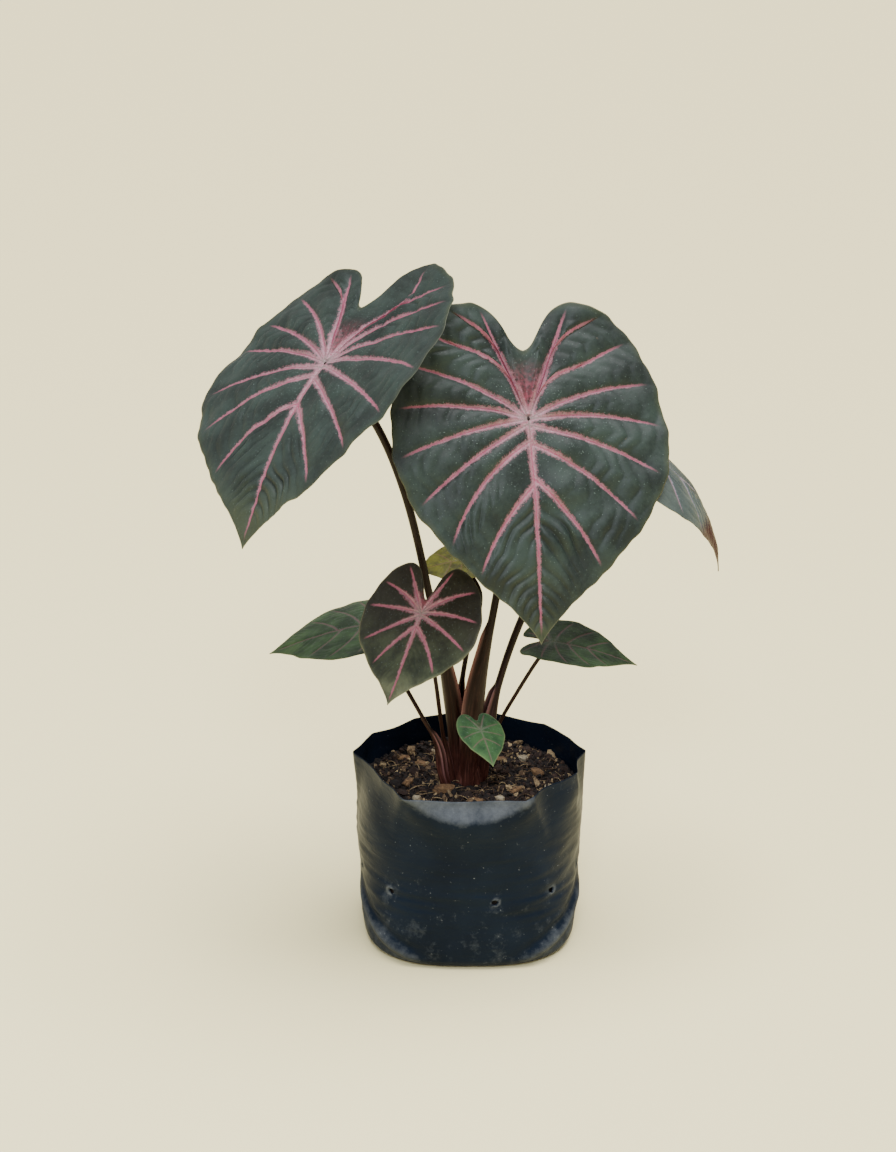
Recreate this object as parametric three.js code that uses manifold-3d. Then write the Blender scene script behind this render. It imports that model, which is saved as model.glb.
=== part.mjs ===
// A young elephant ear plant in a black polythene nursery bag.
// Millimetres, +Z up. The origin is the centre of the bag's flat bottom, and the front faces -Y.
// Every piece is a sphere's grid of rows and columns pulled into shape. Where pieces are set into
// the soil or against the corm, a slightly fatter copy of one is cut out of the other.

import * as THREE from 'three';
import { mergeVertices } from 'three/addons/utils/BufferGeometryUtils.js';
import Module from 'manifold-3d';

const wasm = await Module();
wasm.setup();

const MATURE_BLADE = { color: '#46524a', roughness: 0.5, metalness: 0 };
const YOUNG_BLADE = { color: '#58693f', roughness: 0.5, metalness: 0 };
const OLD_BLADE = { color: '#6a6420', roughness: 0.55, metalness: 0 };

// ---------------------------------------------------------------- driving dimensions

const GAP = 0.3;

// The bag is a film tube welded flat at its foot. Filled, its rim is near round and its foot is
// squarer: squareness is the exponent of the superellipse that each level follows.
const BAG = { height: 127, rimWidth: 156, rimDepth: 150, footWidth: 147, footRadius: 9.5, film: 0.6 };
const SQUARENESS = { foot: 2.8, rim: 2, fadeHeight: 70 };
const BAG_COLUMNS = 40;

// Punched drain holes: one ring of five to the front and five to the back.
const DRAIN = { diameter: 4, height: 52, headings: [-79, -44, 13, 46, 79] };

// The mix stands lowest at the wall and is mounded up towards the crown.
const MIX = { wallLevel: 108, mound: 2.4, bump: 0.8 };

const CORM = { x: -2, y: -1, top: 108, height: 26, radius: 12 };
const ROOTS = { count: 6, thick: 1.6, thin: 0.7, reach: 46, drop: 58 };

// One entry for each leaf, in the order that the plant grew them last to first.
// at: where the stalk meets the blade.  length: from there to the tip.
// heading: which way the midrib points, 0 to the front and +90 to the right.
// dip: the midrib's fall below level.  roll: the tilt about the midrib.
// droop, back: how far the tip and the lobes bend down.  left, right: how far each half curls down.
// form: sinus depth, lobe offset, lobe reach, where the blade is widest and its half width,
// all as fractions of the length.  stalk: the petiole's route from the corm, then its radii at
// the sheathed foot and at the blade, and how far up the sheath reaches as a share of its length.
const LEAVES = [
  {
    name: 'upper_left', at: [-93, -15, 407], length: 136,
    thickness: 1, columns: 36, rows: 10, look: MATURE_BLADE,
    heading: -36.6, dip: 32.7, roll: 10.3, droop: 31, back: -7.4, left: -12, right: 7.5,
    form: [0.352, 0.258, 0.616, 0.097, 0.74],
    stalk: [[-6, 1, 98], [-8, 3, 125], [-12, 4, 165], [-27, 3, 243], [-44, -1, 319], [-64, -5, 368]],
    foot: 4.3, neck: 2.6, sheath: 0.34,
  },
  {
    name: 'centre', at: [37, -20, 371], length: 145,
    thickness: 1, columns: 36, rows: 10, look: MATURE_BLADE,
    heading: 9.2, dip: 55.9, roll: -5.3, droop: 19, back: -7.8, left: -2.4, right: -3,
    form: [0.314, 0.238, 0.534, 0.123, 0.633],
    stalk: [[-1, -6, 98], [0, -5, 125], [5, -1, 175], [15, 3, 226], [24, 6, 281], [31, 5, 330]],
    foot: 4.6, neck: 2.6, sheath: 0.4,
  },
  {
    name: 'right_rear', at: [114, 35, 337], length: 105,
    thickness: 1, columns: 32, rows: 8, look: MATURE_BLADE,
    heading: 79.6, dip: 26.4, roll: -5, droop: 60, back: 15, left: 22, right: 23,
    form: [0.31, 0.24, 0.53, 0.073, 0.611],
    stalk: [[6, 1, 98], [9, 3, 125], [17, 9, 165], [36, 20, 221], [61, 27, 268], [92, 34, 311]],
    foot: 4.4, neck: 2.5, sheath: 0.3,
  },
  {
    name: 'front_left', at: [-32, -45, 248], length: 64,
    thickness: 0.9, columns: 28, rows: 8, look: MATURE_BLADE,
    heading: -32.7, dip: 51.7, roll: 12, droop: 0, back: -10, left: 20, right: -8,
    form: [0.15, 0.298, 0.507, 0.137, 0.74],
    stalk: [[-9, -4, 98], [-14, -5, 120], [-19, -10, 154], [-23, -20, 191], [-28, -33, 226]],
    foot: 2.3, neck: 1.4, sheath: 0.3,
  },
  {
    name: 'lower_left', at: [-64.5, 18, 218], length: 76,
    thickness: 0.9, columns: 28, rows: 8, look: MATURE_BLADE,
    heading: -88.9, dip: 9.9, roll: -7.1, droop: 16, back: 0, left: -5, right: 14,
    form: [0.12, 0.22, 0.4, 0.2, 0.616],
    stalk: [[-11, -10, 97], [-18, -12, 117], [-22, -13, 141], [-32, -12, 161], [-54, 6, 196]],
    foot: 2.8, neck: 1.4, sheath: 0.42,
  },
  {
    name: 'lower_right', at: [54, -10, 215], length: 60,
    thickness: 0.9, columns: 28, rows: 8, look: MATURE_BLADE,
    heading: 83.6, dip: 6.1, roll: 5, droop: 17, back: 24, left: -4, right: -5,
    form: [0.12, 0.2, 0.33, 0.2, 0.55],
    stalk: [[6, 7, 98], [11, 9, 120], [21, 5, 150], [32, 1, 173], [46, -5, 200]],
    foot: 2.1, neck: 1.3, sheath: 0.25,
  },
  {
    name: 'rear_small', at: [-4, 26, 260], length: 34,
    thickness: 0.8, columns: 24, rows: 6, look: OLD_BLADE,
    heading: -78, dip: 5, roll: -18, droop: 12, back: 5, left: 6, right: 6,
    form: [0.2, 0.24, 0.5, 0.1, 0.6],
    stalk: [[-2, 7, 98], [-5, 11, 130], [-6, 14, 165], [-2, 17, 195], [7, 20, 238]],
    foot: 3, neck: 1.7, sheath: 0.5,
  },
  {
    name: 'front_small', at: [7, -40, 163.5], length: 28.5,
    thickness: 0.8, columns: 24, rows: 6, look: YOUNG_BLADE,
    heading: 21.7, dip: 31.1, roll: -9.6, droop: 10, back: 5, left: 0, right: 6.4,
    form: [0.281, 0.244, 0.505, 0.019, 0.596],
    stalk: [[1, -9, 98], [3, -14.5, 120], [5, -24, 141], [6, -33, 155]],
    foot: 1.4, neck: 0.9, sheath: 0.3,
  },
];

// Loose pieces on top of the mix: the place, the three half sizes and the turn about Z.
const BARK_CHIPS = [
  { at: [-17, -21], half: [8.5, 4.6, 3.4], turn: 12 },
  { at: [-42, -8], half: [5.5, 3.4, 2.2], turn: 70 },
  { at: [-33, 24], half: [6, 3, 2], turn: -35 },
  { at: [22, 29], half: [5, 3.4, 2.4], turn: 20 },
  { at: [47, 9], half: [6.5, 3.6, 2.4], turn: -60 },
  { at: [31, -22], half: [5.6, 3, 2.2], turn: 48 },
  { at: [4, -38], half: [6, 3.2, 2], turn: -15 },
  { at: [-46, 33], half: [5, 3, 2], turn: 5 },
];
const PUMICE_LUMPS = [
  { at: [38, 31], half: [4, 3.4, 2.8], turn: 0 },
  { at: [20, -34], half: [3.6, 3, 2.6], turn: 30 },
  { at: [54, -14], half: [3.2, 3, 2.4], turn: 50 },
  { at: [-36, -34], half: [3.6, 3.2, 2.6], turn: 80 },
  { at: [-24, 43], half: [3.4, 3, 2.4], turn: 15 },
];

const FILM = { color: '#272b2f', roughness: 0.38, metalness: 0 };
const POTTING_MIX = { color: '#2b1d14', roughness: 0.95, metalness: 0 };
const CORM_SKIN = { color: '#4a2f22', roughness: 0.8, metalness: 0 };
const ROOT_SKIN = { color: '#c9b795', roughness: 0.75, metalness: 0 };
const PETIOLE = { color: '#2d1b14', roughness: 0.42, metalness: 0 };
const BARK = { color: '#7d5a34', roughness: 0.9, metalness: 0 };
const PUMICE = { color: '#b3a692', roughness: 0.95, metalness: 0 };

// ---------------------------------------------------------------- shape helpers

const { degToRad, lerp, smoothstep } = THREE.MathUtils;
const UP = new THREE.Vector3(0, 0, 1);

// A closed skin of rows from the first pole to the last. place(turn, row) gives each point,
// with turn 0 to 1 counter-clockwise as seen from outside the first pole. A thin sheet has two
// faces: its lower half of rows is split along the other diagonal, so that each facet below lies
// under its twin above and the two never cross.
function skin(columns, rows, place, isSheet = false) {
  const grid = new THREE.SphereGeometry(1, columns, rows);
  const { position, uv } = grid.attributes;
  if (isSheet) {
    grid.setIndex(sheetFacets(columns, rows));
  }
  for (let i = 0; i < uv.count; i += 1) {
    const row = Math.round((1 - uv.getY(i)) * rows);
    const pole = row === 0 || row === rows;
    const column = pole ? 0 : Math.round(uv.getX(i) * columns) % columns;
    const point = place(column / columns, row);
    position.setXYZ(i, point.x, point.y, point.z);
  }
  return weld(grid);
}

function sheetFacets(columns, rows) {
  const facets = [];
  for (let row = 0; row < rows; row += 1) {
    for (let column = 0; column < columns; column += 1) {
      const near = row * (columns + 1) + column;
      const far = near + columns + 1;
      const isUnder = row >= rows / 2;
      if (row > 0) {
        facets.push(near + 1, near, isUnder ? far : far + 1);
      }
      if (row < rows - 1) {
        facets.push(isUnder ? near + 1 : near, far, far + 1);
      }
    }
  }
  return facets;
}

// Shared vertices, as a solid needs them.
function weld(geometry) {
  geometry.deleteAttribute('normal');
  geometry.deleteAttribute('uv');
  return mergeVertices(geometry, 1e-4);
}

function toSolid(geometry) {
  const mesh = new wasm.Mesh({
    numProp: 3,
    vertProperties: new Float32Array(geometry.attributes.position.array),
    triVerts: new Uint32Array(geometry.index.array),
  });
  return new wasm.Manifold(mesh);
}

function toGeometry(solid) {
  const mesh = solid.getMesh();
  const geometry = new THREE.BufferGeometry();
  geometry.setAttribute('position', new THREE.BufferAttribute(mesh.vertProperties, 3));
  geometry.setIndex(new THREE.BufferAttribute(mesh.triVerts, 1));
  return geometry;
}

// The geometry less its cutters. Crumbs that a cut sets loose are dropped.
function carve(geometry, cutters) {
  const whole = toSolid(geometry);
  const left = cutters.reduce((solid, cutter) => solid.subtract(toSolid(cutter)), whole);
  const largest = left.decompose().reduce((a, b) => (b.volume() > a.volume() ? b : a));
  return toGeometry(largest);
}

const plant = new THREE.Group();

function add(name, geometry, look) {
  geometry.computeVertexNormals();
  const mesh = new THREE.Mesh(geometry, new THREE.MeshStandardMaterial(look));
  mesh.name = name;
  plant.add(mesh);
}

// ---------------------------------------------------------------- nursery bag

// The bag's side as half widths and heights: a quarter round foot, then a wall that flares
// quickly at first and less towards the rim. Each point carries its inward normal.
function bagSide() {
  const { footRadius, footWidth, rimWidth, height } = BAG;
  const points = [];
  for (const angle of [0, 30, 60, 90]) {
    const x = footWidth / 2 - footRadius * (1 - Math.sin(degToRad(angle)));
    points.push(new THREE.Vector2(x, footRadius * (1 - Math.cos(degToRad(angle)))));
  }
  for (const z of [24, 46, 76, MIX.wallLevel, height]) {
    const rise = (z - footRadius) / (height - footRadius);
    points.push(new THREE.Vector2(lerp(footWidth, rimWidth, rise ** 0.6) / 2, z));
  }
  return points.map((point, i) => {
    const before = points[Math.max(i - 1, 0)];
    const after = points[Math.min(i + 1, points.length - 1)];
    const along = i === 0 ? new THREE.Vector2(1, 0) : after.clone().sub(before).normalize();
    return { x: point.x, z: point.y, inX: -along.y, inZ: along.x };
  });
}

const SIDE = bagSide();
const FLOOR_ROWS = 2;

// A point of the bag's side or floor, moved in from the outside face by an inset. Step counts
// from the middle of the floor out and up to the rim.
function bagPoint(turn, step, inset) {
  const station = SIDE[Math.max(step - FLOOR_ROWS, 0)];
  const share = Math.min(step / FLOOR_ROWS, 1);
  const isRim = station === SIDE.at(-1);
  const angle = turn * 2 * Math.PI;
  const wave = isRim ? 0.9 * Math.sin(2 * angle + 0.6) + 0.6 * Math.sin(5 * angle) : 0;
  const height = station.z + (isRim ? wave : inset * station.inZ);
  const power = lerp(SQUARENESS.foot, SQUARENESS.rim, smoothstep(station.z, 0, SQUARENESS.fadeHeight));
  const [across, deep] = [Math.cos(angle), Math.sin(angle)];
  const squared = (Math.abs(across) ** power + Math.abs(deep) ** power) ** (-1 / power);
  const radius = share * squared * (station.x + inset * station.inX);
  return new THREE.Vector3(radius * across, (radius * deep * BAG.rimDepth) / BAG.rimWidth, height);
}

// Rows run from the middle of the inner floor, up the inside, over the cut edge and down the
// outside to the middle of the base.
function bagFilm() {
  const steps = SIDE.length + FLOOR_ROWS;
  const rows = 2 * steps - 1;
  return skin(BAG_COLUMNS, rows, (turn, row) => {
    const inside = row < steps;
    return bagPoint(turn, inside ? row : rows - row, inside ? BAG.film : 0);
  });
}

// A punch through the wall, turned from the front towards the right.
function drainPunch(heading) {
  const punch = new THREE.CylinderGeometry(DRAIN.diameter / 2, DRAIN.diameter / 2, 24, 10);
  punch.translate(0, -BAG.rimDepth / 2, DRAIN.height);
  punch.rotateZ(degToRad(heading));
  return weld(punch);
}

const drainPunches = DRAIN.headings.flatMap((heading) => [drainPunch(heading), drainPunch(180 - heading)]);
add('nursery_bag', carve(bagFilm(), drainPunches), FILM);

// ---------------------------------------------------------------- corm and roots

function corm(margin) {
  const middle = CORM.top - CORM.height / 2;
  const rows = 8;
  return skin(16, rows, (turn, row) => {
    const fall = (row / rows) * Math.PI;
    const around = turn * 2 * Math.PI;
    const radius = (CORM.radius + margin) * Math.sin(fall);
    const height = (CORM.height / 2 + margin) * Math.cos(fall);
    return new THREE.Vector3(
      CORM.x + radius * Math.cos(around),
      CORM.y + radius * Math.sin(around),
      middle + height,
    );
  });
}

// A tapering round stem along a curve, with flat ends. radiusAt(share) gives its radius from
// the foot, share 0, to the tip, share 1. A margin fattens it all over and lengthens it at both
// ends, most at the foot, so that a pocket cut for it opens into its neighbour's.
function stem(curve, radiusAt, columns, rings, margin) {
  const frames = curve.computeFrenetFrames(rings - 1);
  return skin(columns, rings + 1, (turn, row) => {
    const ring = THREE.MathUtils.clamp(rings - row, 0, rings - 1);
    const share = ring / (rings - 1);
    const centre = curve.getPointAt(share);
    const overshoot = { 0: -3 * margin, [rings - 1]: margin }[ring] ?? 0;
    centre.addScaledVector(frames.tangents[ring], overshoot);
    if (row === 0 || row === rings + 1) {
      return centre;
    }
    const angle = turn * 2 * Math.PI;
    const radius = radiusAt(share) + margin;
    centre.addScaledVector(frames.normals[ring], radius * Math.cos(angle));
    return centre.addScaledVector(frames.binormals[ring], radius * Math.sin(angle));
  });
}

// Anchoring roots leave the corm's waist and sink outwards into the mix.
function root(index, margin) {
  const heading = ((index + 0.4) / ROOTS.count) * 2 * Math.PI;
  const out = new THREE.Vector3(Math.cos(heading), Math.sin(heading), 0);
  const start = new THREE.Vector3(CORM.x, CORM.y, CORM.top - CORM.height * 0.56);
  const at = (reach, drop) => start.clone().addScaledVector(out, reach).addScaledVector(UP, -drop);
  const near = CORM.radius + GAP;
  const bend = near + ROOTS.reach * 0.5;
  const curve = new THREE.CatmullRomCurve3([
    at(near, 0.4),
    at(near + 5, 2),
    at(bend, ROOTS.drop * 0.4),
    at(near + ROOTS.reach * 0.75, ROOTS.drop),
  ]);
  return stem(curve, (share) => lerp(ROOTS.thick, ROOTS.thin, share), 6, 9, margin);
}

const cormPocket = corm(GAP);
add('corm', corm(0), CORM_SKIN);
const rootIndexes = [...Array(ROOTS.count).keys()];
for (const index of rootIndexes) {
  add(`root_${index + 1}`, root(index, 0), ROOT_SKIN);
}

// ---------------------------------------------------------------- blades

// The blade's own directions: across to its right, along to its tip, and up out of its face.
function bladeFrame(leaf) {
  const heading = degToRad(leaf.heading);
  const dip = degToRad(leaf.dip);
  const level = new THREE.Vector3(Math.sin(heading), -Math.cos(heading), 0);
  const along = level.multiplyScalar(Math.cos(dip)).addScaledVector(UP, -Math.sin(dip));
  const face = UP.clone().addScaledVector(along, Math.sin(dip)).normalize();
  face.applyAxisAngle(along, degToRad(leaf.roll));
  const across = along.clone().cross(face);
  return { across, along, face };
}

// The heart-shaped outline, counter-clockwise from the sinus to the tip and back.
function bladeOutline([sinus, lobeOffset, lobeReach, widestAt, halfWidth]) {
  const side = [
    [0.02, -sinus - 0.42 * (lobeReach - sinus), 0.38 * lobeOffset, -lobeReach, lobeOffset, -lobeReach],
    [lerp(lobeOffset, halfWidth, 0.55), -lobeReach, halfWidth, lerp(widestAt, -lobeReach, 0.52),
      halfWidth, widestAt],
    [halfWidth, lerp(widestAt, 1, 0.46), 0.1 * halfWidth + 0.035, 0.8, 0, 1],
  ];
  const shape = new THREE.Shape();
  shape.moveTo(0, -sinus);
  for (const curve of side) {
    shape.bezierCurveTo(...curve);
  }
  const starts = [[0, -sinus], ...side.map((curve) => curve.slice(4))];
  for (let i = side.length - 1; i >= 0; i -= 1) {
    const [ax, ay, bx, by] = side[i];
    shape.bezierCurveTo(-bx, by, -ax, ay, -starts[i][0], starts[i][1]);
  }
  return shape;
}

// A point of the flat blade, u to the right and v towards the tip, lifted off its middle layer,
// then curled across and bent along on two circular arcs.
function bend(leaf, u, v, lift) {
  const [, , lobeReach, , halfWidth] = leaf.form;
  const never = 1e-6;
  const curl = degToRad(u > 0 ? leaf.right : leaf.left) / (halfWidth * leaf.length) || never;
  const x = (1 / curl + lift) * Math.sin(curl * u);
  const z = (1 / curl + lift) * Math.cos(curl * u) - 1 / curl;
  const reach = v > 0 ? leaf.length : lobeReach * leaf.length;
  const fall = degToRad(v > 0 ? leaf.droop : leaf.back) / reach || never;
  const y = (1 / fall + z) * Math.sin(fall * v);
  return new THREE.Vector3(x, y, (1 / fall + z) * Math.cos(fall * v) - 1 / fall);
}

// Rows run from the stalk's joint over the upper face to the margin and back underneath. The
// blade is thickest at the joint and comes to a sharp margin.
function blade(leaf) {
  const { across, along, face } = bladeFrame(leaf);
  const outline = bladeOutline(leaf.form).getSpacedPoints(leaf.columns);
  const halfRows = leaf.rows / 2;
  return skin(leaf.columns, leaf.rows, (turn, row) => {
    const edge = outline[Math.round(turn * leaf.columns)];
    const share = 1 - Math.abs(row - halfRows) / halfRows;
    const reach = share * leaf.length;
    const lift = (leaf.thickness / 2) * Math.sqrt(1 - share ** 2) * Math.sign(halfRows - row);
    const bent = bend(leaf, edge.x * reach, edge.y * reach, lift);
    return new THREE.Vector3(...leaf.at)
      .addScaledVector(across, bent.x)
      .addScaledVector(along, bent.y)
      .addScaledVector(face, bent.z);
  }, true);
}

// ---------------------------------------------------------------- petioles

// The stalk follows its route, then turns in square to the blade's underside.
function petiole(leaf, margin) {
  const { face } = bladeFrame(leaf);
  const joint = new THREE.Vector3(...leaf.at);
  const end = joint.clone().addScaledVector(face, -leaf.thickness / 2 - GAP);
  const turnIn = joint.clone().addScaledVector(face, -2.6 * leaf.neck);
  const route = leaf.stalk.map((point) => new THREE.Vector3(...point));
  const curve = new THREE.CatmullRomCurve3([...route, turnIn, end], false, 'centripetal');
  const radiusAt = (share) => lerp(leaf.foot, leaf.neck, smoothstep(share, leaf.sheath * 0.5, leaf.sheath));
  const rings = Math.round(leaf.length / 14) + 9;
  return stem(curve, radiusAt, 8, rings, margin);
}

// Where the sheathed feet crowd together, each gives way to those before it in the list.
LEAVES.forEach((leaf, i) => {
  const neighbours = LEAVES.slice(0, i).map((other) => petiole(other, GAP));
  add(`leaf_${leaf.name}`, blade(leaf), leaf.look);
  add(`petiole_${leaf.name}`, carve(petiole(leaf, 0), [cormPocket, ...neighbours]), PETIOLE);
});

// ---------------------------------------------------------------- potting mix and loose pieces

// The surface of the mix at a place: mounded to the crown, with low bumps that die at the wall.
function mixLevel(x, y) {
  const out = Math.min(Math.hypot(x, y) / (BAG.footWidth / 2), 1);
  const bumps = Math.sin(x / 7 + 1) * Math.cos(y / 6) + 0.6 * Math.sin((x + y) / 4.5);
  return MIX.wallLevel + (1 - out ** 2) * (MIX.mound + MIX.bump * bumps);
}

// Rows run from the crown over the surface to the wall, then down the wall and under.
function pottingMix() {
  const inset = BAG.film + 2 * GAP;
  const wallStep = SIDE.findIndex((station) => station.z === MIX.wallLevel) + FLOOR_ROWS;
  const surfaceRows = 6;
  return skin(BAG_COLUMNS, surfaceRows + wallStep, (turn, row) => {
    if (row >= surfaceRows) {
      return bagPoint(turn, wallStep + surfaceRows - row, inset);
    }
    const point = bagPoint(turn, wallStep, inset).multiplyScalar(row / surfaceRows);
    return point.setZ(mixLevel(point.x, point.y));
  });
}

// A loose piece lies about a third sunk in the mix.
function loosePiece(form, { at: [x, y], half, turn }, margin) {
  const [halfX, halfY, halfZ] = half.map((size) => size + margin);
  form.scale(halfX, halfY, halfZ);
  form.rotateZ(degToRad(turn));
  form.translate(x, y, mixLevel(x, y) + 0.35 * half[2]);
  return weld(form);
}

const chip = (piece, margin) => loosePiece(new THREE.DodecahedronGeometry(1), piece, margin);
const lump = (piece, margin) => loosePiece(new THREE.IcosahedronGeometry(1), piece, margin);

BARK_CHIPS.forEach((piece, i) => add(`bark_chip_${i + 1}`, chip(piece, 0), BARK));
PUMICE_LUMPS.forEach((piece, i) => add(`pumice_lump_${i + 1}`, lump(piece, 0), PUMICE));

// The crown opening keeps the mix clear of the sheaths where they crowd together.
const crownOpening = new THREE.CylinderGeometry(CORM.radius - 1, CORM.radius - 1, 20, 20);
crownOpening.rotateX(Math.PI / 2);
crownOpening.translate(CORM.x, CORM.y, CORM.top);

const pockets = [
  cormPocket,
  weld(crownOpening),
  ...rootIndexes.map((index) => root(index, GAP)),
  ...LEAVES.map((leaf) => petiole(leaf, GAP)),
  ...BARK_CHIPS.map((piece) => chip(piece, GAP)),
  ...PUMICE_LUMPS.map((piece) => lump(piece, GAP)),
];
add('potting_mix', carve(pottingMix(), pockets), POTTING_MIX);

export default plant;
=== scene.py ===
"""A young elephant ear plant in a black polythene nursery bag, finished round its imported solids.

Lengths in the tables and functions are millimetres, as on the plant, and new_piece() turns them
to the frame's metres. +Z is up, the front faces -Y, and the origin is the centre of the bag's foot.
"""

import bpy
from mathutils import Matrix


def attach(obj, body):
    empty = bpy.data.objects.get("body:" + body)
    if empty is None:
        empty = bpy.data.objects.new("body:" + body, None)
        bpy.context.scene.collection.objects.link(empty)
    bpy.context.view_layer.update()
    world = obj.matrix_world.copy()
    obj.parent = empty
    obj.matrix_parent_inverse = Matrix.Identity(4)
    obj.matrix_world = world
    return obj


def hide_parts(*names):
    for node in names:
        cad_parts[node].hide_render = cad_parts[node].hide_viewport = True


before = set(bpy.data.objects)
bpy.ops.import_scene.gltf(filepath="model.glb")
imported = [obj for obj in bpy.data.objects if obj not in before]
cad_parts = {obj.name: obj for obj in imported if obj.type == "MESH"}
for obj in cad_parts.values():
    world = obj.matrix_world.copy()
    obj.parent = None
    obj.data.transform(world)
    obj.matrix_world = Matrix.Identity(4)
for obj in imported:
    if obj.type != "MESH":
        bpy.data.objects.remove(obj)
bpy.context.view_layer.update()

import math

import bpy
import numpy as np

MM = 0.001
UP = np.array([0.0, 0.0, 1.0])

# ---------------------------------------------------------------- driving dimensions

BAG = {"height": 127, "rim_width": 156, "rim_depth": 150, "foot_width": 147, "foot_radius": 9.5}
SQUARENESS = {"foot": 2.8, "rim": 2.0, "fade_height": 70}
FILM = 0.35         # the film's thickness, thicker than the real 0.1 mm so that its cut edge shows
BLADE_HALF = 0.3    # half of a leaf's thickness
RIM_CORNERS = (
    (78, 6), (71, 27), (54, 53), (35, 64), (16.5, 74), (-16, 74), (-38, 66), (-67, 38), (-78, 6),
    (-59.5, -38), (-42, -71), (36, -70), (45, -56), (61, -39), (73, -24), (73.5, -8),
)
DRAIN = {"diameter": 4, "height": 52, "headings": (-79, -44, 13, 46, 79)}
MIX = {"wall_level": 108, "half_width": 75.9, "inside": 0.985, "mound": 2.4, "bump": 0.8}
CROWN = {"x": -0.5, "y": -5, "foot": 100, "height": 24, "radius": 9.8}
CAMERA = {"place": (-0.01463, -1.30423, 0.7195), "pitch": 70.5, "lens": 65, "sensor": 36}

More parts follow.
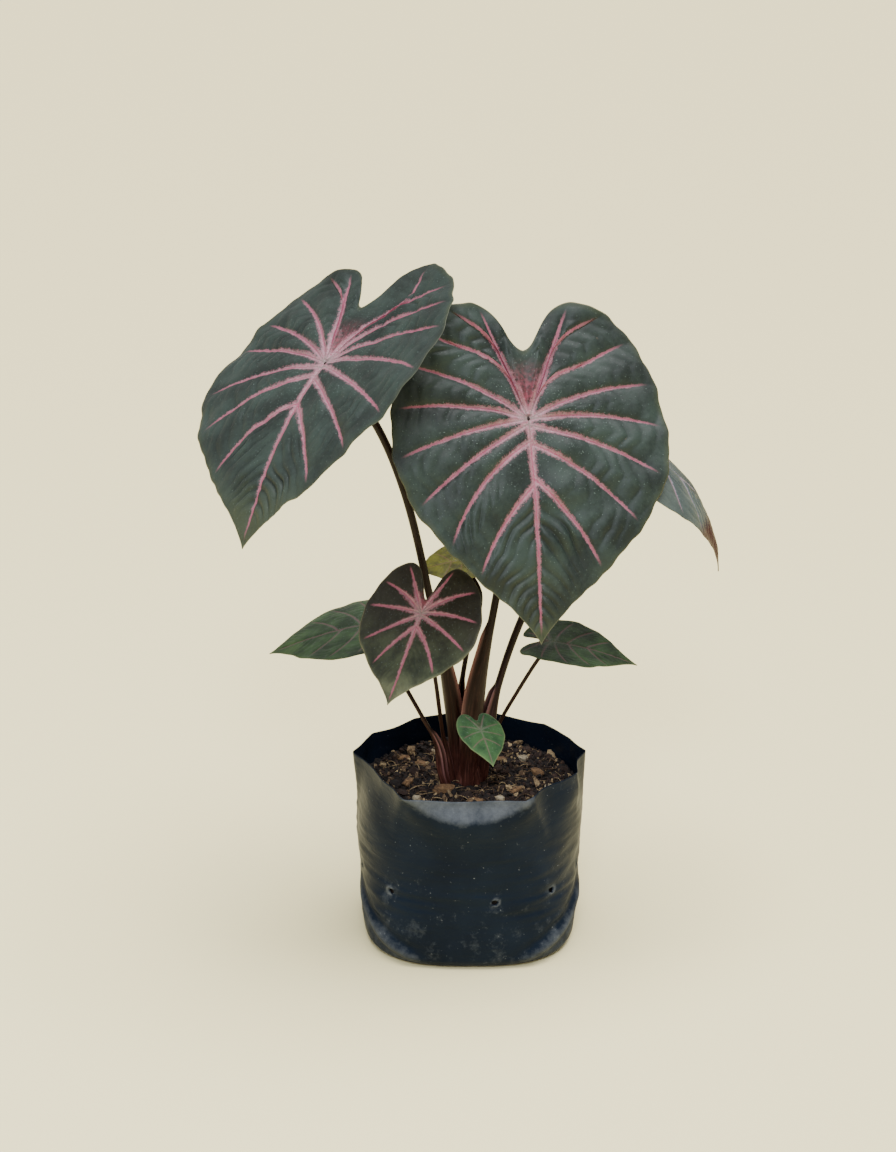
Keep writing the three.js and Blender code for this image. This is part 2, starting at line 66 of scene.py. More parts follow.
# The leaves, from the last grown to the first. at, length, heading, dip, roll, droop, back,
# left, right, form, stalk and neck are the solids' own values: where the stalk joins the blade,
# the joint's reach to the tip, how the blade is turned and curled in degrees, its outline as
# shares of the length, and the stalk's route and its radius under the blade. The rest is for the
# finish. foot and sheath are the radius and the share of the sheathed stretch, fuller than the
# solids'. The veins run from the sinus to the tip on each half, each as (where it leaves the
# midrib, as a share of the length; its heading from the tip in degrees; how far it bows away from
# the tip). A fork is (vein, the vein it parts from, where along it). band is the half width of a
# vein's pink band at the stalk's joint, wave is how far the margin rises and falls, and quilt is
# how deep the creases are beside the deepest blade's.
LEAVES = {
    "upper_left": dict(
        at=(-93, -15, 407), length=136, heading=-36.6, dip=32.7, roll=10.3,
        droop=31, back=-7.4, left=-12, right=7.5, form=(0.352, 0.258, 0.616, 0.097, 0.74),
        stalk=((-6, 1, 98), (-8, 3, 125), (-12, 4, 165), (-27, 3, 243), (-44, -1, 319), (-64, -5, 368)),
        foot=5.8, neck=2.6, sheath=0.38, band=2.7, wave=0.8, quilt=0.8,
        right_forks=((2, 1, 0.72),), left_forks=((1, 2, 0.72),),
        right_veins=((0, 158, 2), (0, 146, 12), (0, 130, 15), (0, 113, 13), (0, 98, 10), (0.03, 73, 15),
                     (0.08, 52, 19), (0.25, 28, 20)),
        left_veins=((0, 154, 16), (0, 131, 30), (0, 118, 30), (0, 104, 21), (0, 81, 18), (0.02, 62, 7),
                    (0.1, 44, 6), (0.26, 25, 9)),
    ),
    "centre": dict(
        at=(37, -20, 371), length=145, heading=9.2, dip=55.9, roll=-5.3,
        droop=19, back=-7.8, left=-2.4, right=-3, form=(0.314, 0.238, 0.534, 0.123, 0.633),
        stalk=((-1, -6, 98), (0, -5, 125), (5, -1, 175), (15, 3, 226), (24, 6, 281), (31, 5, 330)),
        foot=6.4, neck=2.6, sheath=0.46, band=2.6, wave=0.8, quilt=1.0,
        right_forks=((2, 1, 0.72), (3, 1, 0.38)), left_forks=((2, 1, 0.68), (3, 1, 0.2)),
        right_veins=((0, 160, 1), (0, 146, 14), (0, 131, 21), (0, 114, 15), (0, 94, 14), (0, 73, 9),
                     (0.02, 53, 8), (0.1, 34, 20), (0.3, 21, 13)),
        left_veins=((0, 157, 0), (0, 141, 17), (0, 125, 16), (0, 104, 15), (0, 85, 13), (0.03, 65, 12),
                    (0.11, 44, 14), (0.27, 23, 12)),
    ),
    "right_rear": dict(
        at=(114, 35, 337), length=105, heading=79.6, dip=26.4, roll=-5,
        droop=60, back=15, left=22, right=23, form=(0.31, 0.24, 0.53, 0.073, 0.611),
        stalk=((6, 1, 98), (9, 3, 125), (17, 9, 165), (36, 20, 221), (61, 27, 268), (92, 34, 311)),
        foot=5.8, neck=2.5, sheath=0.3, band=1.9, wave=0.5, quilt=0.6, right_forks=(), left_forks=(),
        right_veins=((0, 158, 2), (0, 132, 20), (0, 108, 16), (0, 86, 13), (0.02, 64, 12), (0.12, 43, 14),
                     (0.3, 23, 12)),
        left_veins=((0, 158, 2), (0, 134, 20), (0, 110, 16), (0, 88, 13), (0.03, 66, 12), (0.13, 44, 14),
                    (0.32, 22, 12)),
    ),
    "front_left": dict(
        at=(-32, -45, 248), length=64, heading=-32.7, dip=51.7, roll=12,
        droop=0, back=-10, left=20, right=-8, form=(0.15, 0.298, 0.507, 0.137, 0.74),
        stalk=((-9, -4, 98), (-14, -5, 120), (-19, -10, 154), (-23, -20, 191), (-28, -33, 226)),
        foot=2.5, neck=1.4, sheath=0.3, band=2.3, wave=0.3, quilt=0.25, right_forks=(), left_forks=(),
        right_veins=((0, 145, 0), (0, 114, 12), (0, 89, 7), (0.02, 58, 6), (0.14, 32, 11)),
        left_veins=((0, 152, 2), (0, 118, 12), (0, 91, 8), (0.02, 65, 8), (0.14, 34, 14)),
    ),
    "lower_left": dict(
        at=(-64.5, 18, 218), length=76, heading=-88.9, dip=9.9, roll=-7.1,
        droop=16, back=0, left=-5, right=14, form=(0.12, 0.22, 0.4, 0.2, 0.616),
        stalk=((-11, -10, 97), (-18, -12, 117), (-22, -13, 141), (-32, -12, 161), (-54, 6, 196)),
        foot=3.2, neck=1.4, sheath=0.42, band=1.6, wave=0.3, quilt=0.3, right_forks=(), left_forks=(),
        right_veins=((0, 145, 4), (0, 105, 10), (0, 74, 10), (0.12, 50, 14), (0.34, 30, 14)),
        left_veins=((0, 145, 4), (0, 105, 10), (0, 74, 10), (0.1, 50, 14), (0.3, 30, 14)),
    ),
    "lower_right": dict(
        at=(54, -10, 215), length=60, heading=83.6, dip=6.1, roll=5,
        droop=17, back=24, left=-4, right=-5, form=(0.12, 0.2, 0.33, 0.2, 0.55),
        stalk=((6, 7, 98), (11, 9, 120), (21, 5, 150), (32, 1, 173), (46, -5, 200)),
        foot=2.3, neck=1.3, sheath=0.25, band=1.5, wave=0.3, quilt=0.3, right_forks=(), left_forks=(),
        right_veins=((0, 140, 4), (0, 98, 10), (0.04, 66, 12), (0.2, 42, 14), (0.42, 24, 12)),
        left_veins=((0, 140, 4), (0, 98, 10), (0.04, 66, 12), (0.18, 42, 14), (0.4, 24, 12)),
    ),
    "rear_small": dict(
        at=(-4, 26, 260), length=34, heading=-78, dip=5, roll=-18,
        droop=12, back=5, left=6, right=6, form=(0.2, 0.24, 0.5, 0.1, 0.6),
        stalk=((-2, 7, 98), (-5, 11, 130), (-6, 14, 165), (-2, 17, 195), (7, 20, 238)),
        foot=3.4, neck=1.7, sheath=0.5, band=0.7, wave=0.2, quilt=0.3, right_forks=(), left_forks=(),
        right_veins=((0, 145, 4), (0, 100, 10), (0.05, 66, 12), (0.25, 38, 12)),
        left_veins=((0, 145, 4), (0, 100, 10), (0.05, 66, 12), (0.25, 38, 12)),
    ),
    "front_small": dict(
        at=(7, -40, 163.5), length=28.5, heading=21.7, dip=31.1, roll=-9.6,
        droop=10, back=5, left=0, right=6.4, form=(0.281, 0.244, 0.505, 0.019, 0.596),
        stalk=((1, -9, 98), (3, -14.5, 120), (5, -24, 141), (6, -33, 155)),
        foot=1.5, neck=0.9, sheath=0.3, band=0.8, wave=0.15, quilt=0.2, right_forks=(), left_forks=(),
        right_veins=((0, 150, 4), (0, 105, 10), (0.04, 68, 10), (0.24, 38, 12)),
        left_veins=((0, 150, 4), (0, 105, 10), (0.04, 68, 10), (0.24, 38, 12)),
    ),
}

# Loose pieces that have solids of their own: the place, the three half sizes and the turn.
BARK_CHIPS = (
    ((-17, -21), (8.5, 4.6, 3.4), 12), ((-42, -8), (5.5, 3.4, 2.2), 70), ((-33, 24), (6, 3, 2), -35),
    ((22, 29), (5, 3.4, 2.4), 20), ((47, 9), (6.5, 3.6, 2.4), -60), ((31, -22), (5.6, 3, 2.2), 48),
    ((4, -38), (6, 3.2, 2), -15), ((-46, 33), (5, 3, 2), 5),
)
PUMICE_LUMPS = (
    ((38, 31), (4, 3.4, 2.8), 0), ((20, -34), (3.6, 3, 2.6), 30), ((54, -14), (3.2, 3, 2.4), 50),
    ((-36, -34), (3.6, 3.2, 2.6), 80), ((-24, 43), (3.4, 3, 2.4), 15),
)


# ---------------------------------------------------------------- small tools

def lerp(a, b, share):
    return a + (b - a) * share


def smoothstep(x, low, high):
    share = np.clip((x - low) / (high - low), 0, 1)
    return share * share * (3 - 2 * share)


def hill(x, width):
    """A bell of height 1 at x = 0 that has fallen to 1/e at a width away."""
    return np.exp(-((x / width) ** 2))


def half_turn(degrees):
    """An angle brought between -180 and 180 degrees."""
    return (degrees + 180) % 360 - 180


def undulation(points, size, seed, waves=14):
    """Smooth seeded noise about -1 to 1: the mean of sine waves that run in random directions,
    with wavelengths from 0.7 to 1.6 times size, each at a random phase."""
    draw = np.random.default_rng(seed)
    directions = draw.normal(size=(waves, 3))
    directions /= np.linalg.norm(directions, axis=1, keepdims=True)
    directions *= 2 * math.pi / (size * draw.uniform(0.7, 1.6, (waves, 1)))
    phases = draw.uniform(0, 2 * math.pi, waves)
    return np.sin(points @ directions.T + phases).sum(-1) * (1.6 / math.sqrt(waves)) / 2


def grid_faces(index, flip=False):
    """Four-sided faces between neighbouring rows and columns of an array of vertex numbers."""
    corners = [index[:-1, :-1], index[:-1, 1:], index[1:, 1:], index[1:, :-1]]
    faces = np.stack([c.ravel() for c in corners], 1)
    return faces[:, ::-1] if flip else faces


def weld(points, faces, grain=1e-5):
    """Joins points that round to the same grain, in millimetres, and drops the faces' repeated
    corners, so that seams and poles close. Returns the kept points' numbers, and the faces."""
    _, kept, joined = np.unique(np.round(points / grain).astype(np.int64), axis=0,
                                return_index=True, return_inverse=True)
    faces = joined.ravel()[faces]
    repeated = faces == np.roll(faces, 1, axis=1)
    whole = faces[~repeated.any(1)].tolist()
    cut = [list(row[~again]) for row, again in zip(faces[repeated.any(1)], repeated[repeated.any(1)])]
    return kept, whole + [face for face in cut if len(set(face)) > 2]


def new_piece(name, points, faces, material, attributes=None, replaces=()):
    """A smooth mesh from points in millimetres, riding on the plant's one body. It stands for
    the CAD nodes that it replaces."""
    mesh = bpy.data.meshes.new(name)
    faces = faces if isinstance(faces, list) else faces.tolist()
    mesh.from_pydata((points * MM).tolist(), [], faces)
    for label, values in (attributes or {}).items():
        kind = "FLOAT_VECTOR" if values.ndim == 2 else "FLOAT"
        layer = mesh.attributes.new(label, kind, "POINT")
        key = "vector" if kind == "FLOAT_VECTOR" else "value"
        layer.data.foreach_set(key, values.astype(np.float32).ravel())
    mesh.shade_smooth()
    mesh.materials.append(material)
    piece = bpy.data.objects.new(name, mesh)
    bpy.context.scene.collection.objects.link(piece)
    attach(piece, "root")
    if replaces:
        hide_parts(*replaces)
    return piece


def wrapped_piece(name, grid, material, attributes=None, replaces=(), flip=False):
    """A closed skin from a grid of points whose last column meets its first and whose end rows
    are poles. Each attribute is a grid with the same rows and columns."""
    rows, columns = grid.shape[:2]
    index = np.arange(rows * columns).reshape(rows, columns)
    index = np.concatenate([index, index[:, :1]], 1)
    points = grid.reshape(-1, 3)
    kept, faces = weld(points, grid_faces(index, flip))
    attributes = {label: values.reshape(len(points), *values.shape[2:])[kept]
                  for label, values in (attributes or {}).items()}
    return new_piece(name, points[kept], faces, material, attributes, replaces)


# ---------------------------------------------------------------- materials

def linear(code):
    """An sRGB hex colour as linear RGBA."""
    parts = [int(code[i:i + 2], 16) / 255 for i in (1, 3, 5)]
    return [p / 12.92 if p <= 0.04045 else ((p + 0.055) / 1.055) ** 2.4 for p in parts] + [1.0]


def node(tree, kind, inputs=None, out=0, stops=None, **settings):
    """Adds a node with its settings, values and links, and returns one output. A stop of a
    colour ramp is (place, colour), the first and last stops first."""
    made = tree.nodes.new("ShaderNode" + kind)
    for name, value in settings.items():
        setattr(made, name, value)
    for socket, value in (inputs or {}).items():
        if isinstance(value, bpy.types.NodeSocket):
            tree.links.new(value, made.inputs[socket])
        else:
            made.inputs[socket].default_value = value
    for i, (place, colour) in enumerate(stops or ()):
        elements = made.color_ramp.elements
        element = elements[i] if i < 2 else elements.new(place)
        element.position, element.color = place, linear(colour)
    return made.outputs[out]


def per_metre(size_mm):
    """The scale of a pattern on coordinates in metres whose features are this many mm across."""
    return 1 / (size_mm * MM)


def new_material(name):
    """An empty material: its tree, and its surface's Principled shader."""
    material = bpy.data.materials.new(name)
    material.use_nodes = True
    tree = material.node_tree
    return material, tree, tree.nodes["Principled BSDF"]


A, B, FACTOR, COLOUR = 6, 7, 0, 2   # a colour Mix node's sockets and its result


def blade_skin(name, deep, mid, olive, pink, pale, under, strength=1.0, flush=0.0,
               core_green="#5d6158", dry_tip=None, cell=1.0):
    """A living aroid blade: a waxy cuticle over quilted flesh. It gives a satin, slightly cool
    sheen, panels mottled from deep to mid green, and veins edged by ragged pink and chalky bands.
    strength fades the bands, flush darkens the lobes, and cell scales the patterns to the blade."""
    material, tree, skin = new_material(name)
    place = node(tree, "TexCoord", out="Object")
    read = {label: node(tree, "Attribute", out="Fac", attribute_name=label)
            for label in ("vein_mm", "vein_reach", "vein_share", "rim_mm", "joint_mm", "crease", "wedge",
                          "under", "tip")}

    # Flesh between the veins: clouds about 26 mm across, with a little of a 2.5 mm grain.
    clouds = node(tree, "TexNoise", {"Vector": place, "Scale": per_metre(26 * cell), "Detail": 3.0},
                  out="Fac")
    grain = node(tree, "TexNoise", {"Vector": place, "Scale": per_metre(2.5), "Detail": 4.0}, out="Fac")
    tone = node(tree, "Math", {0: grain, 1: 0.25, 2: clouds}, operation="MULTIPLY_ADD")
    tone = node(tree, "MapRange", {"Value": tone, "From Min": 0.48, "From Max": 0.78})
    flesh = node(tree, "Mix", {FACTOR: tone, A: linear(deep), B: linear(mid)}, COLOUR, data_type="RGBA")

    # The tip turns olive, and so does the outer 5 mm of the margin, in patches.
    rim = node(tree, "MapRange", {"Value": read["rim_mm"], "From Min": 5.0 * cell, "From Max": 0.3,
                                  "To Max": 0.4}, interpolation_type="SMOOTHSTEP")
    tip = node(tree, "MapRange", {"Value": read["tip"], "From Min": 0.62, "From Max": 1.0, "To Max": 0.6})
    turned = node(tree, "Math", {0: rim, 1: tip}, operation="MAXIMUM")
    patches = node(tree, "MapRange", {"Value": clouds, "From Min": 0.35, "From Max": 0.65,
                                      "To Min": 0.3, "To Max": 1.2})
    turned = node(tree, "Math", {0: turned, 1: patches}, operation="MULTIPLY")
    flesh = node(tree, "Mix", {FACTOR: turned, A: flesh, B: linear(olive)}, COLOUR, data_type="RGBA")

    # The creases between pillows are darker: less light gets into them.
    shade = node(tree, "Math", {0: read["crease"], 1: 0.8}, operation="MULTIPLY")
    flesh = node(tree, "Mix", {FACTOR: shade, A: flesh, B: linear("#141b17")}, COLOUR, data_type="RGBA")

    # A dark flush that spreads from the joint over the lobes of the half-grown blade.
    if flush:
        upper = node(tree, "MapRange", {"Value": read["tip"], "From Min": 0.55, "From Max": 0.0,
                                        "To Max": flush})
        flesh = node(tree, "Mix", {FACTOR: upper, A: flesh, B: linear("#1b160e")}, COLOUR, data_type="RGBA")

    # Chalky flecks under 1 mm, scattered over the panels and thicker near the stalk's joint.
    flecks = node(tree, "TexNoise", {"Vector": place, "Scale": per_metre(0.9), "Detail": 1.0}, out="Fac")
    least = node(tree, "MapRange", {"Value": read["joint_mm"], "From Min": 70.0 * cell, "From Max": 8.0,
                                    "To Min": 0.71, "To Max": 0.63})
    most = node(tree, "Math", {0: least, 1: 0.1}, operation="ADD")
    flecks = node(tree, "MapRange", {"Value": flecks, "From Min": least, "From Max": most,
                                     "To Max": 0.42})
    flesh = node(tree, "Mix", {FACTOR: flecks, A: flesh, B: linear("#83968f")}, COLOUR, data_type="RGBA")

    # Crimson between the lobes' first veins, above the joint.
    mottle = node(tree, "MapRange", {"Value": grain, "From Min": 0.35, "From Max": 0.62,
                                     "To Min": 0.2, "To Max": 1.0})
    wedge = node(tree, "Math", {0: read["wedge"], 1: mottle}, operation="MULTIPLY")
    wedge = node(tree, "Math", {0: wedge, 1: 0.8 * strength}, operation="MULTIPLY")
    flesh = node(tree, "Mix", {FACTOR: wedge, A: flesh, B: linear("#8a4050")}, COLOUR, data_type="RGBA")

    # A vein's band, torn at its edges by a 0.8 mm and a 3.2 mm grain, pink with chalky speckles.
    fine = node(tree, "TexNoise", {"Vector": place, "Scale": per_metre(0.8), "Detail": 3.0,
                                   "Roughness": 0.6}, out="Fac")
    coarse = node(tree, "TexNoise", {"Vector": place, "Scale": per_metre(3.2), "Detail": 1.0}, out="Fac")
    torn = node(tree, "Math", {0: coarse, 1: 0.4, 2: fine}, operation="MULTIPLY_ADD")
    torn = node(tree, "MapRange", {"Value": torn, "From Min": 0.45, "From Max": 0.95,
                                   "To Min": -0.8, "To Max": 0.8})
    reach = node(tree, "Math", {0: read["vein_reach"], 1: torn}, operation="ADD")
    band = node(tree, "MapRange", {"Value": reach, "From Min": 1.4, "From Max": 0.4,
                                   "To Max": strength}, interpolation_type="SMOOTHSTEP")
    band = node(tree, "Math", {0: band, 1: read["vein_share"]}, operation="MULTIPLY")
    chalk = node(tree, "MapRange", {"Value": read["joint_mm"], "From Min": 75.0 * cell, "From Max": 6.0,
                                    "To Min": 0.2, "To Max": 0.36})
    speckle = node(tree, "MapRange", {"Value": fine, "From Min": 0.4, "From Max": 0.62,
                                      "To Min": 0.1, "To Max": 1.7})
    chalk = node(tree, "Math", {0: chalk, 1: speckle}, operation="MULTIPLY", use_clamp=True)
    colour = node(tree, "Mix", {FACTOR: chalk, A: linear(pink), B: linear(pale)}, COLOUR, data_type="RGBA")
    top = node(tree, "Mix", {FACTOR: band, A: flesh, B: colour}, COLOUR, data_type="RGBA")

    # The vein itself is a fine dark line down the band, greener at the stalk's joint.
    core = node(tree, "MapRange", {"Value": read["vein_mm"], "From Min": 0.85, "From Max": 0.2,
                                   "To Max": 0.6 * strength}, interpolation_type="SMOOTHSTEP")
    core = node(tree, "Math", {0: core, 1: read["vein_share"]}, operation="MULTIPLY")
    green = node(tree, "MapRange", {"Value": read["joint_mm"], "From Min": 22.0 * cell, "From Max": 4.0})
    dark = node(tree, "Mix", {FACTOR: green, A: linear("#8a3350"), B: linear(core_green)}, COLOUR,
                data_type="RGBA")
    top = node(tree, "Mix", {FACTOR: core, A: top, B: dark}, COLOUR, data_type="RGBA")

    # The margin is a thin pale line: partly a pale cord of its own, partly a painted highlight where light
    # catches the edge.
    edge = node(tree, "MapRange", {"Value": read["rim_mm"], "From Min": 0.9, "From Max": 0.2, "To Max": 0.35})
    top = node(tree, "Mix", {FACTOR: edge, A: top, B: linear("#7f7d66")}, COLOUR, data_type="RGBA")

    # Underneath: duller, olive brown, with maroon ribs.
    rib = node(tree, "MapRange", {"Value": read["vein_mm"], "From Min": 1.5, "From Max": 0.4,
                                  "To Max": 0.6})
    below = node(tree, "Mix", {FACTOR: tone, A: linear(under), B: linear("#504a3c")}, COLOUR,
                 data_type="RGBA")
    below = node(tree, "Mix", {FACTOR: rib, A: below, B: linear("#755850")}, COLOUR, data_type="RGBA")
    skin_colour = node(tree, "Mix", {FACTOR: read["under"], A: top, B: below}, COLOUR,
                       data_type="RGBA")
    if dry_tip:
        dried = node(tree, "MapRange", {"Value": read["tip"], "From Min": 0.6, "From Max": 0.68})
        skin_colour = node(tree, "Mix", {FACTOR: dried, A: skin_colour, B: linear(dry_tip)}, COLOUR,
                           data_type="RGBA")
    tree.links.new(skin_colour, skin.inputs["Base Color"])

    gloss = node(tree, "MapRange", {"Value": grain, "From Min": 0.3, "From Max": 0.7,
                                    "To Min": 0.42, "To Max": 0.58})
    tree.links.new(gloss, skin.inputs["Roughness"])
    skin.inputs["IOR"].default_value = 1.45
    skin.inputs["Specular IOR Level"].default_value = 0.27

    # Relief: a soft pucker about 3 mm across over the quilting.
    pucker = node(tree, "TexNoise", {"Vector": place, "Scale": per_metre(3.4), "Detail": 1.0}, out="Fac")
    bump = node(tree, "Bump", {"Height": pucker, "Strength": 0.2, "Distance": 0.9 * MM})
    tree.links.new(bump, skin.inputs["Normal"])
    return material


def petiole_skin():
    """A fleshy stalk with a waxed skin: near black maroon with fine lengthwise streaks and a
    narrow gloss, and sheath edges that are thin, dry and flesh pink."""
    material, tree, skin = new_material("petiole_skin_fresh_waxed")
    along = node(tree, "Attribute", out="Vector", attribute_name="skin")
    lip = node(tree, "Attribute", out="Fac", attribute_name="lip")
    age = node(tree, "Attribute", out="Fac", attribute_name="foot")
    # Streaks 0.9 mm wide and about 14 mm long, from coordinates round and along the stalk in mm.
    stretched = node(tree, "Mapping", {"Vector": along, "Scale": (1.0, 1.0, 0.065)})
    streaks = node(tree, "TexNoise", {"Vector": stretched, "Scale": 1 / 0.9, "Detail": 3.0}, out="Fac")
    blotch = node(tree, "TexNoise", {"Vector": along, "Scale": 1 / 9, "Detail": 2.0}, out="Fac")
    stalk = node(tree, "ValToRGB", {"Fac": streaks},
                 stops=((0.3, "#120806"), (0.75, "#291611"), (0.54, "#1a0e0a")))
    base = node(tree, "ValToRGB", {"Fac": streaks},
                stops=((0.3, "#43241d"), (0.75, "#86574a"), (0.54, "#5a332a")))
    grown = node(tree, "MapRange", {"Value": blotch, "From Min": 0.3, "From Max": 0.7, "To Min": 0.6,
                                    "To Max": 1.2})
    grown = node(tree, "Math", {0: grown, 1: age}, operation="MULTIPLY", use_clamp=True)
    colour = node(tree, "Mix", {FACTOR: grown, A: stalk, B: base}, COLOUR, data_type="RGBA")
    edge = node(tree, "Mix", {FACTOR: streaks, A: linear("#7a4446"), B: linear("#ab827b")}, COLOUR,
                data_type="RGBA")
    colour = node(tree, "Mix", {FACTOR: lip, A: colour, B: edge}, COLOUR, data_type="RGBA")
    tree.links.new(colour, skin.inputs["Base Color"])
    skin.inputs["Roughness"].default_value = 0.45
    skin.inputs["IOR"].default_value = 1.45
    skin.inputs["Specular IOR Level"].default_value = 0.18
    bump = node(tree, "Bump", {"Height": streaks, "Strength": 0.35, "Distance": 0.3 * MM})
    tree.links.new(bump, skin.inputs["Normal"])
    return material


def polythene_film():
    """Carbon black low density polythene, blown as film: nearly black with a blue cast and a
    soft plastic gloss that creases break up, dried splashes of mix towards the foot, and a painted
    highlight in the dust's pale colour under the front of the rim."""
    material, tree, skin = new_material("black_polythene_blown_film")
    place = node(tree, "TexCoord", out="Object")
    dust_and_highlight = node(tree, "Attribute", out="Fac", attribute_name="dust_and_highlight")
    haze = node(tree, "TexNoise", {"Vector": place, "Scale": per_metre(34), "Detail": 4.0}, out="Fac")
    film = node(tree, "Mix", {FACTOR: haze, A: linear("#0a1019"), B: linear("#172231")}, COLOUR,
                data_type="RGBA")
    # Dust: rubbed patches about 12 mm across where the film is folded, and single specks. The same
    # pale colour paints the highlight under the front rim and part of the tucks' light.
    patches = node(tree, "TexNoise", {"Vector": place, "Scale": per_metre(12), "Detail": 6.0,
                                      "Roughness": 0.75}, out="Fac")
    rubbed_dust_and_highlight = node(tree, "Math", {0: patches, 1: dust_and_highlight}, operation="ADD")
    rubbed_dust_and_highlight = node(tree, "MapRange", {"Value": rubbed_dust_and_highlight, "From Min": 0.62, "From Max": 1.1, "To Max": 0.5})
    specks = node(tree, "TexNoise", {"Vector": place, "Scale": per_metre(1.5), "Detail": 2.0}, out="Fac")
    sparse = node(tree, "MapRange", {"Value": patches, "From Min": 0.35, "From Max": 0.7,
                                     "To Min": 0.8, "To Max": 0.67})
    specks = node(tree, "Math", {0: specks, 1: sparse}, operation="SUBTRACT")
    specks = node(tree, "MapRange", {"Value": specks, "From Min": 0.0, "From Max": 0.05, "To Max": 0.7})
    dust_highlight_and_specks = node(tree, "Math", {0: rubbed_dust_and_highlight, 1: specks}, operation="MAXIMUM")
    film = node(tree, "Mix", {FACTOR: dust_highlight_and_specks, A: film, B: linear("#70757a")}, COLOUR, data_type="RGBA")
    tree.links.new(film, skin.inputs["Base Color"])
    gloss = node(tree, "MapRange", {"Value": dust_highlight_and_specks, "From Max": 0.3, "To Min": 0.36, "To Max": 0.6})
    tree.links.new(gloss, skin.inputs["Roughness"])
    skin.inputs["IOR"].default_value = 1.51
    # A bloom of dry dust hides most of the clean film's mirror.
    skin.inputs["Specular IOR Level"].default_value = 0.05
    # Film never lies flat: shallow 7 mm dents stretched sideways.
    wide = node(tree, "Mapping", {"Vector": place, "Scale": (0.55, 0.55, 1.6)})
    dents = node(tree, "TexNoise", {"Vector": wide, "Scale": per_metre(7), "Detail": 3.0,
                                    "Distortion": 0.6}, out="Fac")
    bump = node(tree, "Bump", {"Height": dents, "Strength": 0.5, "Distance": 0.9 * MM})
    tree.links.new(bump, skin.inputs["Normal"])
    return material


def damp_mix():
    """Damp coir and composted bark: matt, nearly black in its pores, with brown and tan fibres."""
    material, tree, skin = new_material("potting_mix_coir_and_bark")
    place = node(tree, "TexCoord", out="Object")
    tone = node(tree, "Attribute", out="Fac", attribute_name="tone")
    grain = node(tree, "TexNoise", {"Vector": place, "Scale": per_metre(1.6), "Detail": 5.0,
                                    "Roughness": 0.7}, out="Fac")
    speckle = node(tree, "MapRange", {"Value": grain, "From Min": 0.3, "From Max": 0.7,
                                      "To Min": -0.14, "To Max": 0.14})
    mixed = node(tree, "Math", {0: tone, 1: speckle}, operation="ADD")
    colour = node(tree, "ValToRGB", {"Fac": mixed}, stops=(
        (0.0, "#0b0806"), (1.0, "#b39b72"), (0.35, "#1a110c"), (0.6, "#35231a"), (0.8, "#5e4832")))
    tree.links.new(colour, skin.inputs["Base Color"])
    skin.inputs["Roughness"].default_value = 0.88
    bump = node(tree, "Bump", {"Height": grain, "Strength": 0.6, "Distance": 0.6 * MM})
    tree.links.new(bump, skin.inputs["Normal"])
    return material


def bark_face(name, light, dark, pores, roughness):
    """A broken dry face, layered where pores is over 1 and pitted or streaked where it isn't:
    bark, pumice, or the fibrous skin of a corm or root. It is quite matt."""
    material, tree, skin = new_material(name)
    place = node(tree, "TexCoord", out="Object")
    # A 3.3 mm grain, pressed flat into layers pores times thinner.
    layers = node(tree, "Mapping", {"Vector": place, "Scale": (1.0, 1.0, pores)})
    layer = node(tree, "TexNoise", {"Vector": layers, "Scale": per_metre(3.3), "Detail": 6.0,
                                    "Roughness": 0.65}, out="Fac")
    colour = node(tree, "ValToRGB", {"Fac": layer}, stops=((0.34, dark), (0.66, light)))
    tree.links.new(colour, skin.inputs["Base Color"])
    skin.inputs["Roughness"].default_value = roughness
    bump = node(tree, "Bump", {"Height": layer, "Strength": 0.7, "Distance": 0.8 * MM})
    tree.links.new(bump, skin.inputs["Normal"])
    return material


# ---------------------------------------------------------------- leaves

def blade_frame(leaf):
    """The blade's own directions: across to its right, along to its tip, up out of its face."""
    heading, dip, roll = (math.radians(leaf[key]) for key in ("heading", "dip", "roll"))
    along = np.array([math.sin(heading) * math.cos(dip), -math.cos(heading) * math.cos(dip), -math.sin(dip)])
    face = UP + along * math.sin(dip)
    face /= np.linalg.norm(face)
    face = face * math.cos(roll) + np.cross(along, face) * math.sin(roll)
    return np.cross(along, face), along, face


def bend(leaf, u, v, lift):
    """A point of the flat blade, lifted off its middle layer, curled across and then bent along
    on two circular arcs: each arc turns a distance d into (1/k + lift) sin(k d) forwards and
    (1/k + lift) cos(k d) - 1/k up, with k the turn per millimetre."""
    _, _, lobe_reach, _, half_width = leaf["form"]
    length = leaf["length"]
    nearly_flat = 1e-6
    curl = np.where(u > 0, leaf["right"], leaf["left"]) * (math.pi / 180) / (half_width * length)
    curl = np.where(curl == 0, nearly_flat, curl)
    x = (1 / curl + lift) * np.sin(curl * u)
    z = (1 / curl + lift) * np.cos(curl * u) - 1 / curl
    fall = np.where(v > 0, leaf["droop"] / length, leaf["back"] / (lobe_reach * length)) * (math.pi / 180)
    fall = np.where(fall == 0, nearly_flat, fall)
    y = (1 / fall + z) * np.sin(fall * v)
    z = (1 / fall + z) * np.cos(fall * v) - 1 / fall
    across, along, face = blade_frame(leaf)
    return np.array(leaf["at"]) + x[..., None] * across + y[..., None] * along + z[..., None] * face


